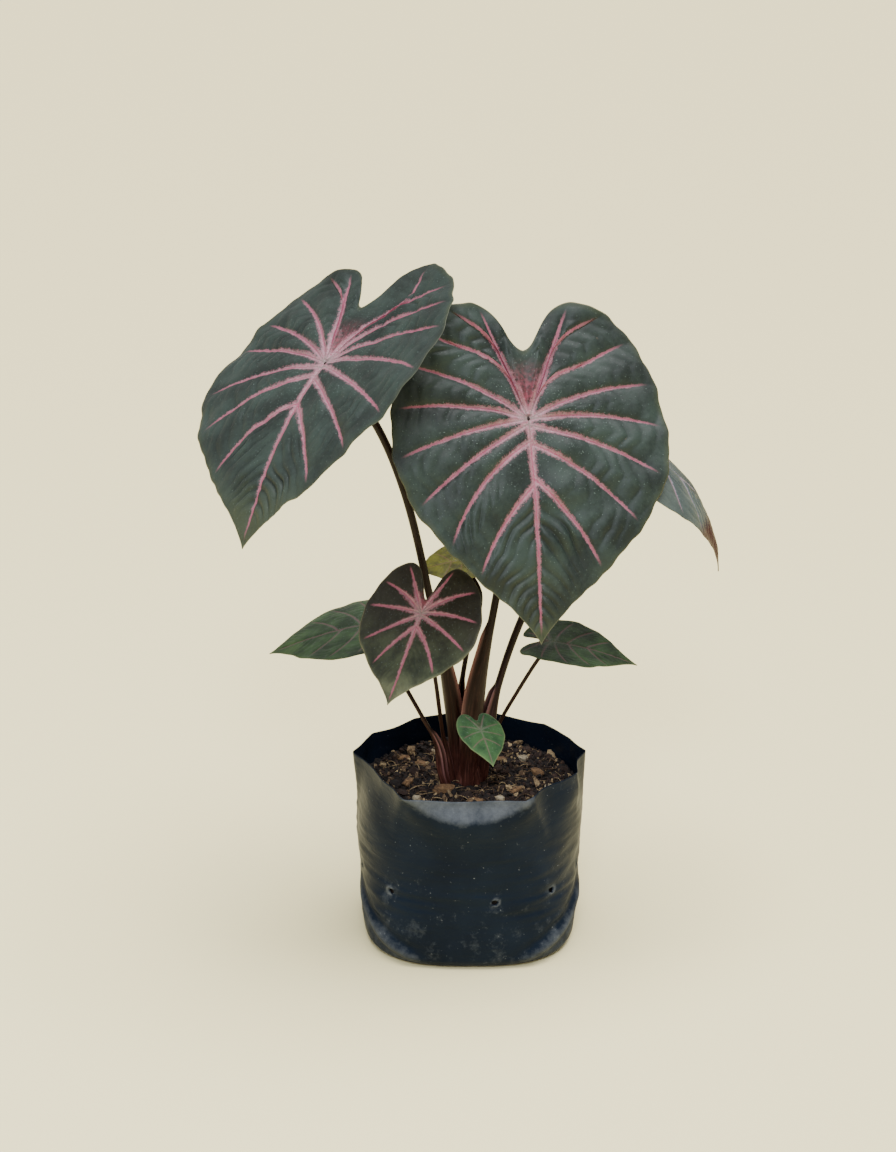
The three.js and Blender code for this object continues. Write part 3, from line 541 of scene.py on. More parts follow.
def half_outline(leaf, count=1200):
    """One half of the heart from the sinus to the tip, three cubic Bezier curves end to end, as
    points evenly spaced by arc length in millimetres."""
    sinus, offset, reach, widest, width = leaf["form"]
    curves = (
        ((0, -sinus), (0.075, -sinus - 0.07 * (reach - sinus)), (0.36 * offset, -reach), (offset, -reach)),
        ((offset, -reach), (lerp(offset, width, 0.55), -reach), (width, lerp(widest, -reach, 0.52)),
         (width, widest)),
        ((width, widest), (width, lerp(widest, 1, 0.46)), (0.1 * width + 0.035, 0.8), (0, 1)),
    )
    t = np.linspace(0, 1, count)[:, None]
    parts = [(1 - t) ** 3 * a + 3 * (1 - t) ** 2 * t * b + 3 * (1 - t) * t ** 2 * c + t ** 3 * d
             for a, b, c, d in (np.array(curve, float) for curve in curves)]
    line = np.concatenate(parts) * leaf["length"]
    gone = np.concatenate([[0], np.cumsum(np.linalg.norm(np.diff(line, axis=0), axis=1))])
    even = np.linspace(0, gone[-1], count)
    return np.stack([np.interp(even, gone, line[:, i]) for i in (0, 1)], 1), gone[-1]


def rib_stations(leaf, count, fine):
    """Places along the midrib, as shares of the length, that both halves share: even steps, and
    finer ones between veins that leave it close together."""
    steps = [np.linspace(0, 1, count)]
    for side in ("left", "right"):
        starts = [0.0] + [vein[0] for vein in leaf[side + "_veins"] if vein[0] > 0]
        steps += [np.linspace(a, b, fine) for a, b in zip(starts, starts[1:])]
    return np.unique(np.concatenate(steps).round(3))


def half_field(leaf, half, stations, rows, fine):
    """One flat half blade as a grid. A column is a vein, or a line that runs between two veins as
    their mean: it leaves the midrib at its start, bows away from the tip as a quadratic Bezier
    curve, and ends on the margin. A forked vein lies against its parent before it parts. Column
    numbers are whole on the veins. Returns the columns' numbers, where they leave the midrib,
    the rows' shares, the points, and the margin's arc length at each column."""
    length, veins = leaf["length"], leaf[half + "_veins"]
    outline, arc = half_outline(leaf)
    turned = np.degrees(np.arctan2(outline[:, 0], outline[:, 1]))
    starts = np.array([0] + [vein[0] for vein in veins] + [1.0])
    ends = np.interp([-vein[1] for vein in veins], -turned, np.linspace(0, 1, len(outline)))
    ends = np.concatenate([[0], ends, [1.0]])
    bows = np.radians([0] + [vein[2] for vein in veins] + [30])
    whole = np.arange(len(starts))
    last_fan = int((starts == 0).sum()) - 1
    columns = np.concatenate([
        np.linspace(0, last_fan, last_fan * fine + 1)[:-1],
        np.interp(stations, starts[last_fan:], whole[last_fan:]),
    ])
    start = np.concatenate([np.zeros(last_fan * fine), stations])
    end, bow = (np.interp(columns, whole, values) for values in (ends, bows))
    root = np.stack([np.zeros_like(start), start * length], 1)
    edge = np.stack([np.interp(end, np.linspace(0, 1, len(outline)), outline[:, i]) for i in (0, 1)], 1)
    scallop = np.cos(2 * math.pi * columns) + 0.5 * np.sin(end * arc / 2.3)
    calm = smoothstep(end, 0.04, 0.2) * (1 - smoothstep(end, 0.86, 0.97))
    edge *= 1 + (0.006 * scallop * calm)[:, None]
    chord = edge - root
    turn = np.arctan2(chord[:, 0], chord[:, 1]) + bow
    reach = np.linalg.norm(chord, axis=1) / 2 / np.cos(bow)
    middle = root + reach[:, None] * np.stack([np.sin(turn), np.cos(turn)], 1)
    t = np.linspace(0, 1, rows)
    s = t[None, :, None]
    points = (1 - s) ** 2 * root[:, None] + 2 * (1 - s) * s * middle[:, None] + s ** 2 * edge[:, None]
    for vein, parent, place in leaf[half + "_forks"]:
        beside = vein + (1 if parent > vein else -1)
        own, trunk, neighbour = (points[np.abs(columns - k).argmin()] for k in (vein, parent, beside))
        merged = (1 - smoothstep(t, 0.8 * place, min(1.0, place + 0.45)))[:, None]
        moved = lerp(own, trunk, 0.95 * merged)
        near = np.clip(1 - np.abs(columns - vein), 0, 1)[:, None, None]
        between = ((columns - vein) * (columns - beside) < 0)[:, None, None]
        strip = lerp(points, lerp(neighbour, moved, near), merged)
        points = np.where(between, strip, points + near * (moved - own))
    return columns, start, t, points, end * arc


def blade_half(leaf, half, stations, rows, fine, seed):
    """The half's field with its relief and its vein measures. Relief, in millimetres off the
    blade: a sunken line along each vein and the midrib, a pillow between two veins, creases that
    cross it with small pillows between them, arcs that sweep from the midrib round the tip, slow
    seeded dents, and a wave that lifts the margin."""
    size, veins = leaf["length"], leaf[half + "_veins"]
    columns, start, t, points, arc = half_field(leaf, half, stations, rows, fine)

    # Distances on the flat blade: to the nearest vein, along the column, to joint and margin.
    nearest = np.clip(np.round(columns), 1, len(veins)).astype(int)
    at_vein = np.array([np.abs(columns - k).argmin() for k in range(len(veins) + 2)])
    steps = np.linalg.norm(np.diff(points, axis=1), axis=-1).cumsum(1)
    gone = np.concatenate([np.zeros((len(columns), 1)), steps], 1)
    along = np.gradient(points, axis=1)
    along = along[at_vein[nearest]]
    along /= np.maximum(np.linalg.norm(along, axis=-1, keepdims=True), 1e-9)
    offset = points - points[at_vein[nearest]]
    offset -= (offset * along).sum(-1, keepdims=True) * along
    aside = np.linalg.norm(offset, axis=-1)
    u, v = points[..., 0], points[..., 1]
    joint = np.hypot(u, v)
    rim = gone[:, -1:] - gone
    share = np.broadcast_to(t, aside.shape)

    # The pink bands: each narrows to the margin, and the lobes' first two are the widest. vein_reach
    # is the distance to the nearest band's vein, as a share of the band's half width there.
    width = leaf["band"] * lerp(1.0, 0.27, np.minimum(share * 1.05, 1) ** 0.7)
    width = width * (1 + 0.45 * (nearest <= 2)[:, None] * (1 - smoothstep(share, 0.4, 0.8)))
    strength = 1 - smoothstep(share, 0.78, 0.95)
    rib_share = np.clip(v / size, 0, 1)
    rib_width = leaf["band"] * lerp(1.15, 0.22, rib_share ** 0.8)
    rib_strength = (1 - smoothstep(rib_share, 0.84, 0.97)) * (v > -0.02 * size)
    rib_nearer = (np.abs(u) / rib_width < aside / width) & (v > 0)
    reach = np.where(rib_nearer, np.abs(u) / rib_width, aside / width)
    vein_mm = np.where(rib_nearer, np.abs(u), aside)
    vein_share = np.where(rib_nearer, rib_strength, strength)

    # Where the creases lie. beyond is the tip's panel, past the last vein.
    part = (columns % 1)[:, None]
    between = 4 * part * (1 - part)
    beyond = smoothstep(columns, len(veins), len(veins) + 0.12)[:, None]
    flat = np.stack([u if half == "right" else -u, v, np.full_like(u, seed * 9.0)], -1)
    off_axis = smoothstep(u, 0, 0.012 * size)
    wander = 0.35 * undulation(flat, 0.25 * size, seed + 3) + 0.1 * undulation(flat, 0.1 * size, seed + 4)
    spacing = 0.076 * size
    across_panel = gone / spacing + 1.1 * np.abs(part - 0.5) + wander
    closer = 0.054 * size
    tip_side = size / closer * np.log(2 / (2 - start[:, None])) + wander
    crease = np.abs(np.sin(math.pi * np.where(beyond > 0.5, tip_side, across_panel)))
    # How deep they are, and then the whole relief, which dies at the tip.
    outer = smoothstep(share, 0.2, 0.5) * (1 - 0.7 * smoothstep(share, 0.86, 1.0))
    tip_reach = smoothstep(share, 0.0, 0.1) * (1 - 0.8 * smoothstep(share, 0.6, 0.95))
    ripple = np.where(beyond > 0.5, tip_reach, 0.62 * outer * lerp(0.3, 1, between))
    ripple = ripple * (0.75 + 0.5 * undulation(flat, 0.2 * size, seed + 5)) * leaf["quilt"]
    bulge = between * smoothstep(share, 0.05, 0.3) * (1 - 0.6 * smoothstep(share, 0.75, 1))
    relief = 0.013 * size * bulge * np.where(beyond > 0.5, 0.1, 1) * leaf["quilt"]
    relief += 0.0145 * size * (crease - 0.5) * ripple
    sunken = strength * smoothstep(joint, 0, 0.1 * size) * off_axis
    relief -= 0.006 * size * hill(aside, 0.013 * size) * sunken
    relief -= 0.009 * size * hill(u, 0.015 * size) * rib_strength
    relief += 0.005 * size * undulation(flat, 0.15 * size, seed) * leaf["quilt"]
    wave = (np.sin(arc / (0.07 * size) + seed) + 0.5 * np.sin(arc / (0.04 * size) + 2 * seed))[:, None]
    relief += leaf["wave"] * wave * share ** 4 * smoothstep(rim + gone, 0.15 * size, 0.5 * size)
    relief *= smoothstep(np.hypot(u, v - size), 0, 0.2 * size) * 0.9 + 0.1

    # The ribs stand out underneath, and the wedge between the lobes' first veins is flushed.
    ribs = 0.006 * size * hill(aside, 0.008 * size) * (1 - share) * off_axis
    ribs += 0.012 * size * hill(u, 0.013 * size) * (1 - rib_share) * (v > -1)
    wedge = (1 - smoothstep(columns, 0.6, 1.6))[:, None]
    wedge = wedge * (1 - smoothstep(joint, 0.08 * size, 0.3 * size))
    measures = {
        "vein_mm": vein_mm, "vein_reach": reach, "vein_share": vein_share, "rim_mm": rim,
        "joint_mm": joint, "crease": (1 - crease) ** 2 * np.clip(ripple, 0, 1), "wedge": wedge,
        "tip": rib_share,
    }
    return points, relief, ribs, measures


def blade(leaf_name, leaf, material, fine, rows, stations, seed):
    """The whole blade as one closed skin: the upper face of both halves, and the underside with
    its raised ribs on every third row, which meet in a sharp margin."""
    stations = rib_stations(leaf, stations, max(fine // 2, 6))
    points, faces, count, collected = [], [], 0, {}
    for side in (1, -1):
        half = "right" if side > 0 else "left"
        flat, relief, ribs, measures = blade_half(leaf, half, stations, rows, fine, seed)
        share = np.linspace(0, 1, rows)[None, :]
        round_edge = np.sqrt(np.clip(1 - share ** 10, 0, 1))
        sparse = np.unique(np.append(np.arange(0, rows, 3), rows - 1))
        for under in (0, 1):
            lift = relief + round_edge * ((-BLADE_HALF - ribs) if under else BLADE_HALF)
            pick = sparse if under else np.arange(rows)
            placed = bend(leaf, side * flat[..., 0], flat[..., 1], lift)[:, pick]
            index = count + np.arange(placed.shape[0] * placed.shape[1]).reshape(placed.shape[:2])
            count += index.size
            points.append(placed.reshape(-1, 3))
            faces.append(grid_faces(index, flip=(side < 0) != bool(under)))
            measures["under"] = np.full(relief.shape, float(under))
            for label, values in measures.items():
                collected.setdefault(label, []).append(values[:, pick].ravel())
    points = np.concatenate(points)
    kept, faces = weld(points, np.concatenate(faces))
    attributes = {label: np.concatenate(values)[kept] for label, values in collected.items()}
    return new_piece(f"blade_{leaf_name}", points[kept], faces, material, attributes,
                     [f"leaf_{leaf_name}"])


def stalk_line(leaf, count):
    """The stalk's centre line: a centripetal Catmull-Rom curve through the route, turned in
    square to the blade's underside, at points evenly spaced by arc length."""
    face = blade_frame(leaf)[2]
    joint = np.array(leaf["at"], float)
    knots = np.array([*leaf["stalk"], joint - face * 2.6 * leaf["neck"], joint - face * 0.35], float)
    knots = np.vstack([2 * knots[0] - knots[1], knots, 2 * knots[-1] - knots[-2]])
    gap = np.linalg.norm(np.diff(knots, axis=0), axis=1) ** 0.5
    s = np.linspace(0, 1, 40, endpoint=False)[:, None]
    parts = []
    for i in range(1, len(knots) - 2):
        p0, p1, p2, p3 = knots[i - 1:i + 3]
        d0, d1, d2 = gap[i - 1:i + 2]
        leave = ((p1 - p0) / d0 - (p2 - p0) / (d0 + d1) + (p2 - p1) / d1) * d1
        arrive = ((p2 - p1) / d1 - (p3 - p1) / (d1 + d2) + (p3 - p2) / d2) * d1
        parts.append((2 * s ** 3 - 3 * s ** 2 + 1) * p1 + (s ** 3 - 2 * s ** 2 + s) * leave
                     + (3 * s ** 2 - 2 * s ** 3) * p2 + (s ** 3 - s ** 2) * arrive)
    line = np.vstack([*parts, knots[-2:-1]])
    gone = np.concatenate([[0], np.cumsum(np.linalg.norm(np.diff(line, axis=0), axis=1))])
    even = np.linspace(0, gone[-1], count)
    return np.stack([np.interp(even, gone, line[:, i]) for i in range(3)], 1), gone[-1]


def petiole(leaf_name, leaf, material, columns=40, rings=150):
    """A stalk: a tapering section carried along its line. Below the sheath's end the section
    has a groove on its inner side between two raised lips, each a bell across the section. It
    flares a little under the blade, and both ends close on the line."""
    name = f"stalk_{leaf_name}"
    line, length = stalk_line(leaf, rings)
    share = np.linspace(0, 1, rings)[:, None]
    tangent = np.gradient(line, axis=0)
    tangent /= np.linalg.norm(tangent, axis=1, keepdims=True)
    outward = line[-1] - line[0]
    outward[2] = 0
    side = np.cross(UP, outward / np.linalg.norm(outward))
    side = side - (tangent @ side)[:, None] * tangent
    side /= np.linalg.norm(side, axis=1, keepdims=True)
    inner = np.cross(tangent, side)
    inner *= np.sign(-(inner[0] @ outward))

    angle = np.linspace(0, 2 * math.pi, columns, endpoint=False)[None, :]
    off_inner = np.abs((angle + math.pi) % (2 * math.pi) - math.pi)
    radius = lerp(leaf["foot"], leaf["neck"], smoothstep(share, leaf["sheath"] / 2, leaf["sheath"]))
    sheathed = 1 - smoothstep(share, leaf["sheath"] * 0.88, leaf["sheath"])
    open_lips = sheathed * smoothstep(share, 0.02, leaf["sheath"] * 0.5)
    lip = hill(off_inner - 0.62, 0.24) * open_lips
    groove = hill(off_inner, 0.34) * open_lips
    radius = radius * (1 - 0.05 * sheathed) + leaf["foot"] * (0.42 * lip - 0.3 * groove)
    stem = np.stack(np.broadcast_arrays(np.cos(angle) * 3, np.sin(angle) * 3, share * 36), -1)
    radius = radius * (1 + 0.025 * undulation(stem, 5, seed=len(name)))
    radius = radius + hill(share - 1, 0.02) * 0.5 * leaf["neck"]
    round_ends = np.ones_like(share)
    round_ends[0] = round_ends[-1] = 0
    radius = radius * round_ends
    wide = 1 + 0.22 * sheathed[..., None]
    across = np.cos(angle)[..., None] * inner[:, None] + wide * np.sin(angle)[..., None] * side[:, None]
    points = line[:, None] + radius[..., None] * across
    left_handed = np.linalg.det(np.stack([inner[1], side[1], tangent[1]])) < 0
    level = points[..., 2]
    attributes = {
        "lip": lip ** 2 * 0.95 * smoothstep(share, 0.0, leaf["sheath"] * 0.45),
        "foot": (1 - smoothstep(level, 112, 150)) * 0.8 + 0.12 * (1 - smoothstep(level, 150, 230)),
        "skin": np.stack(np.broadcast_arrays(
            np.cos(angle) * radius, np.sin(angle) * radius, share * length), -1),
    }
    return wrapped_piece(name, points, material, attributes,
                         [f"petiole_{leaf_name}"], flip=left_handed)


def crown(material, columns=72, rows=40):
    """The short trunk of overlapping old leaf bases at the soil: a barrel that narrows as its
    height to the power 1.6, ribbed lengthwise by sine waves, with rounded ends."""
    turn = np.linspace(0, 2 * math.pi, columns, endpoint=False)[None, :]
    rise = np.linspace(0, 1, rows)[:, None]
    ribs = 0.55 * np.abs(np.sin(3.5 * turn + 2.2 * rise)) + 0.35 * np.sin(11 * turn + 1.3)
    rounded = np.sqrt(np.clip(1 - (2 * rise - 1) ** 12, 0, 1))
    radius = (CROWN["radius"] + ribs) * (1 - 0.42 * rise ** 1.6) * rounded
    height = CROWN["height"] * rise
    points = np.stack(np.broadcast_arrays(
        CROWN["x"] + radius * np.cos(turn), CROWN["y"] + radius * np.sin(turn) * 0.85,
        CROWN["foot"] + height), -1)
    attributes = {
        "lip": 0.35 * hill(np.sin(3.5 * turn + 2.2 * rise), 0.25) * (rise > 0.2),
        "foot": np.ones(radius.shape),
        "skin": np.stack(np.broadcast_arrays(10 * np.cos(turn), 10 * np.sin(turn), height), -1),
    }
    return wrapped_piece("crown_leaf_bases", points, material, attributes)


# ---------------------------------------------------------------- bag

def side_profile(count):
    """The bag's side as half widths and heights, from the foot's edge to the rim: a quarter
    round foot, then a wall whose half width grows as its height to the power 0.6."""
    angle = np.linspace(0, math.pi / 2, 14)
    foot = BAG["foot_radius"]
    x = BAG["foot_width"] / 2 - foot * (1 - np.sin(angle))
    z = foot * (1 - np.cos(angle))
    wall = np.linspace(foot, BAG["height"], count)[1:]
    rise = (wall - foot) / (BAG["height"] - foot)
    flare = lerp(BAG["foot_width"], BAG["rim_width"], rise ** 0.6) / 2
    return np.concatenate([x, flare]), np.concatenate([z, wall])


def rim_reach(turn):
    """The cut rim's reach in each direction: straight chords between the corners where the film
    was folded, before the bag's depth is scaled."""
    corners = np.array(RIM_CORNERS, float) * [1, BAG["rim_width"] / BAG["rim_depth"]]
    angles = np.unwrap(np.arctan2(corners[:, 1], corners[:, 0]))
    reach = np.hypot(corners[:, 0], corners[:, 1])
    angles = np.append(angles, angles[0] + 2 * math.pi)
    reach = np.append(reach, reach[0])
    turn = (turn - angles[0]) % (2 * math.pi) + angles[0]
    i = np.clip(np.searchsorted(angles, turn, side="right") - 1, 0, len(corners) - 1)
    a, b, r, q = angles[i], angles[i + 1], reach[i], reach[i + 1]
    return r * q * np.sin(b - a) / (r * np.sin(turn - a) + q * np.sin(b - turn))


def bag_folds(turn, level):
    """The film's folds, in millimetres out of the wall, and how dusty they are, with painted
    highlights in the same measure. The wall swells along a hanging crescent in front, and the film
    from the crescent up to the rim is lightened as a painted highlight; cross wrinkles pass the
    holes, each hole's lip is raised, tucks run down round the welded foot's corners, dusty and with
    a painted highlight along their folds, and slow dents cover the rest. Each fold is a bell, or
    seeded waves, across its own line."""
    heading = half_turn(np.degrees(turn) + 90)
    width = np.abs(heading)
    round_bag = np.stack([np.cos(turn) * 75, np.sin(turn) * 75, level], -1)
    crescent = 113.5 + 12 * (heading / 33) ** 2
    window = smoothstep(-width, -44, -26)
    fold = 4.4 * window * hill(np.minimum(level - crescent + 3, 0), 13) * hill(np.maximum(
        level - crescent + 1, 0), 7)
    for place, height, size in ((66, 112, 2.0), (-64, 108, 1.6), (128, 114, 1.4), (-120, 112, 1.4)):
        fold = fold + size * hill(heading - place, 13) * hill(level - height, 9)
    stretched = round_bag * np.array([0.24, 0.24, 1.7])
    fold = fold + 0.75 * undulation(stretched, 13, 3) * hill(level - 46, 15) * hill(width, 75)
    fold = fold + 0.35 * undulation(stretched, 9, 8) * hill(level - 60, 40)
    # Dust towards the foot; the second term is a painted highlight, the light caught by the film tilted up
    # under the front rim, painted pale from the crescent up to the rim.
    dust_and_highlight = 0.1 * hill(level - 20, 24) + 0.5 * window * hill(np.minimum(level - crescent - 4, 0), 5)
    for side in (-1, 1):
        for back in (0, 1):
            place = half_turn(180 - side * heading if back else side * heading)
            tuck = level - (3 + 0.55 * (place - 22))
            run = smoothstep(place, 18, 34) * (1 - smoothstep(place, 72, 92))
            fold = fold + run * (2.0 * hill(tuck, 4.5) - 1.6 * hill(tuck - 7.5, 4) - 1.4 * hill(tuck + 7, 4))
            # The tucks are paler from dust, and partly from a painted highlight where their folds catch the
            # light.
            dust_and_highlight = dust_and_highlight + run * (0.26 * hill(tuck, 4) + 0.2 * hill(tuck + 9, 7))
    fold = fold + 0.9 * undulation(round_bag, 46, 11) * smoothstep(level, 8, 30)
    for hole in DRAIN["headings"]:
        for place in (hole, 180 - hole):
            aside = half_turn(heading - place) * 1.3
            away = np.hypot(aside, level - DRAIN["height"])
            fold = fold + 0.6 * hill(away - 2.4, 0.9) - 0.8 * hill(away, 7)
            dust_and_highlight = dust_and_highlight + 0.4 * hill(away - 2.5, 0.8) + 0.14 * hill(away, 9)
    return fold * smoothstep(level, 1, 8), dust_and_highlight


def bag_surface(turn, half_width, level):
    """A level of the bag: a superellipse, squarer at the foot, that gives way to the folded
    corners of the rim, with the film's folds added outwards. The cut edge rises and falls."""
    power = lerp(SQUARENESS["foot"], SQUARENESS["rim"], smoothstep(level, 0, SQUARENESS["fade_height"]))
    across, deep = np.cos(turn), np.sin(turn)
    radius = half_width * (np.abs(across) ** power + np.abs(deep) ** power) ** (-1 / power)
    heading = half_turn(np.degrees(turn) + 90)
    front = smoothstep(-np.abs(heading), -46, -30)
    low = lerp(84, np.minimum(112 + 10 * (heading / 33) ** 2, 120), front)
    cornered = smoothstep(level, low, 128)
    radius = lerp(radius, rim_reach(turn) * half_width / (BAG["rim_width"] / 2), cornered)
    crease = hill((np.abs(heading) - 94) / 5, 1) * smoothstep(level, 30, 90) * 1.6
    radius = radius + bag_folds(turn, level)[0] + crease
    wave = 0.9 * np.sin(2 * turn + 0.6) + 0.6 * np.sin(5 * turn) + 0.5 * np.sin(9 * turn + 2)
    height = level + wave * smoothstep(level, 112, 127)
    return np.stack([radius * across, radius * deep * BAG["rim_depth"] / BAG["rim_width"], height], -1)


def nursery_bag(material, columns=336):
    """The film: rows run from the middle of the base out to the foot, up the wall, over the cut
    rim and back down inside to the middle of the inner floor."""
    half, level = side_profile(104)
    base = np.linspace(0, 1, 7)[:-1]
    inner_half = half - FILM
    inner_level = np.maximum(level, FILM)
    widths = np.concatenate([base * half[0], half, inner_half[::-1], base[::-1] * inner_half[0]])
    levels = np.concatenate([0 * base, level, inner_level[::-1], 0 * base + FILM])
    turn = np.linspace(0, 2 * math.pi, columns, endpoint=False)
    turns, widths, levels = np.broadcast_arrays(turn, widths[:, None], levels[:, None])
    dust_and_highlight = bag_folds(turns, levels)[1]
    dust_and_highlight[len(base) + len(half):] = 0
    bag = wrapped_piece("nursery_bag_film", bag_surface(turns, widths, levels), material,
                        {"dust_and_highlight": dust_and_highlight}, ["nursery_bag"])
    punch_drains(bag)
    return bag


def punch_drains(bag):
    """Cuts each drain hole with a 16-sided punch, and takes the punches away."""
    headings = [h for pair in DRAIN["headings"] for h in (pair, 180 - pair)]
    sides = 16
    angle = np.linspace(0, 2 * math.pi, sides, endpoint=False)
    points, faces = [], []
    for i, heading in enumerate(headings):
        turn = math.radians(heading)
        out = np.array([math.sin(turn), -math.cos(turn), 0])
        aside = np.array([math.cos(turn), math.sin(turn), 0])
        ring = DRAIN["diameter"] / 2 * (np.cos(angle)[:, None] * aside + np.sin(angle)[:, None] * UP * 0.85)
        for reach in (60, 95):
            points.append(ring + out * reach + UP * DRAIN["height"])
        first = 2 * sides * i
        loop = np.arange(sides)
        faces += [[first + a, first + b, first + sides + b, first + sides + a]
                  for a, b in zip(loop, np.roll(loop, -1))]
        faces += [(first + loop[::-1]).tolist(), (first + sides + loop).tolist()]
    mesh = bpy.data.meshes.new("punches")
    mesh.from_pydata((np.concatenate(points) * MM).tolist(), [], faces)
    punches = bpy.data.objects.new("punches", mesh)
    bpy.context.scene.collection.objects.link(punches)
    cut = bag.modifiers.new("drains", "BOOLEAN")
    cut.operation, cut.object, cut.solver = "DIFFERENCE", punches, "MANIFOLD"
    graph = bpy.context.evaluated_depsgraph_get()
    done = bpy.data.meshes.new_from_object(bag.evaluated_get(graph))
    bag.modifiers.clear()
    bag.data = done
    done.shade_smooth()
    bpy.data.objects.remove(punches)


# ---------------------------------------------------------------- potting mix

def mix_level(x, y):
    """The mix's surface: mounded to the crown, with low bumps that die at the wall."""
    out = np.minimum(np.hypot(x, y) / (BAG["foot_width"] / 2), 1)
    bumps = np.sin(x / 7 + 1) * np.cos(y / 6) + 0.6 * np.sin((x + y) / 4.5)
    return MIX["wall_level"] + (1 - out ** 2) * (MIX["mound"] + MIX["bump"] * bumps)


def mix_body(material, columns=260, rows=86):
    """The mix: a rough upper surface, drawn in a little from the bag's own outline, then the
    wall that the bag hides, down to the middle of its floor."""
    drawn_in = np.array([MIX["inside"], MIX["inside"], 1])
    turn = np.linspace(0, 2 * math.pi, columns, endpoint=False)
    reach = np.linspace(0, 1, rows)[:, None, None]
    level = MIX["wall_level"] + 0 * turn
    top = reach * (bag_surface(turn, MIX["half_width"] + 0 * turn, level) * [MIX["inside"], MIX["inside"], 0])
    rough = 1.1 * undulation(top, 7, 21) + 0.7 * undulation(top, 3, 22) - 0.6
    top[..., 2] = mix_level(top[..., 0], top[..., 1]) + rough
    half, level = side_profile(12)
    below = level < MIX["wall_level"] - 4
    half, level = half[below][::-1] - 1.2, level[below][::-1] + 1.0
    wall = bag_surface(*np.broadcast_arrays(turn, half[:, None], level[:, None])) * drawn_in
    middle = np.zeros((1, columns, 3)) + [0, 0, level[-1]]
    points = np.concatenate([top, wall, middle])
    tone = 0.3 + 0.16 * undulation(points, 5, 31) + 0.1 * undulation(points, 2, 32)
    return wrapped_piece("mix_bed", points, material, {"tone": tone}, ["potting_mix"],
                         flip=True)


def rounded_solid():
    """A dodecahedron's 20 corners and 12 faces, for crumbs that are repeated by the hundred."""
    golden = (1 + 5 ** 0.5) / 2
    corners = np.array([(x, y, z) for x in (-1, 1) for y in (-1, 1) for z in (-1, 1)]
                       + [(0, y / golden, z * golden) for y in (-1, 1) for z in (-1, 1)]
                       + [(x / golden, y * golden, 0) for x in (-1, 1) for y in (-1, 1)]
                       + [(x * golden, 0, z / golden) for x in (-1, 1) for z in (-1, 1)]) / 3 ** 0.5
    normals = np.array([(0, y * golden, z) for y in (-1, 1) for z in (-1, 1)]
                       + [(x * golden, y, 0) for x in (-1, 1) for y in (-1, 1)]
                       + [(x, 0, z * golden) for x in (-1, 1) for z in (-1, 1)])
    faces = []
    for normal in normals / np.linalg.norm(normals, axis=1, keepdims=True):
        near = np.argsort(corners @ normal)[-5:]
        first = corners[near[0]] - normal * (corners[near[0]] @ normal)
        second = np.cross(normal, first)
        faces.append(near[np.argsort(np.arctan2(corners[near] @ second, corners[near] @ first))])
    return corners, np.array(faces)


def scatter_discs(draw, count, limit):
    """Random places over the mix, even by area, that leave the crown clear."""
    reach = limit * np.sqrt(draw.uniform(0.035, 1, count))
    turn = draw.uniform(0, 2 * math.pi, count)
    return reach * np.cos(turn), reach * np.sin(turn)


def crumbs(name, material, seed, count, size, flatness, tones):
    """Loose grains on the mix: one solid scaled on three axes, turned at random and sunk by
    about a third, joined in one piece. Sizes follow a log normal spread."""
    draw = np.random.default_rng(seed)
    corners, faces = rounded_solid()
    x, y = scatter_discs(draw, count, 72)
    half = size * draw.lognormal(0, 0.38, (count, 1)) * draw.uniform(0.6, 1.4, (count, 3)) * [1, 1, flatness]
    spin = draw.normal(size=(count, 4))
    spin /= np.linalg.norm(spin, axis=1, keepdims=True)
    w, i, j, k = spin.T
    turned = np.stack([
        np.stack([1 - 2 * (j * j + k * k), 2 * (i * j - k * w), 2 * (i * k + j * w)], -1),
        np.stack([2 * (i * j + k * w), 1 - 2 * (i * i + k * k), 2 * (j * k - i * w)], -1),
        np.stack([2 * (i * k - j * w), 2 * (j * k + i * w), 1 - 2 * (i * i + j * j)], -1)], 1)
    rough = corners[None] * (1 + draw.uniform(-0.2, 0.2, (count, len(corners), 1)))
    local = np.einsum("nij,nkj->nki", turned, rough * half[:, None])
    place = np.stack([x, y, mix_level(x, y) + 0.45 * half.mean(1)], -1)
    points = (local + place[:, None]).reshape(-1, 3)
    index = (faces[None] + len(corners) * np.arange(count)[:, None, None]).reshape(-1, faces.shape[1])
    tone = np.repeat(draw.choice(tones, count) + draw.uniform(-0.07, 0.07, count), len(corners))
    piece = new_piece(name, points, index, material, {"tone": tone})
    piece.data.shade_flat()
    return piece


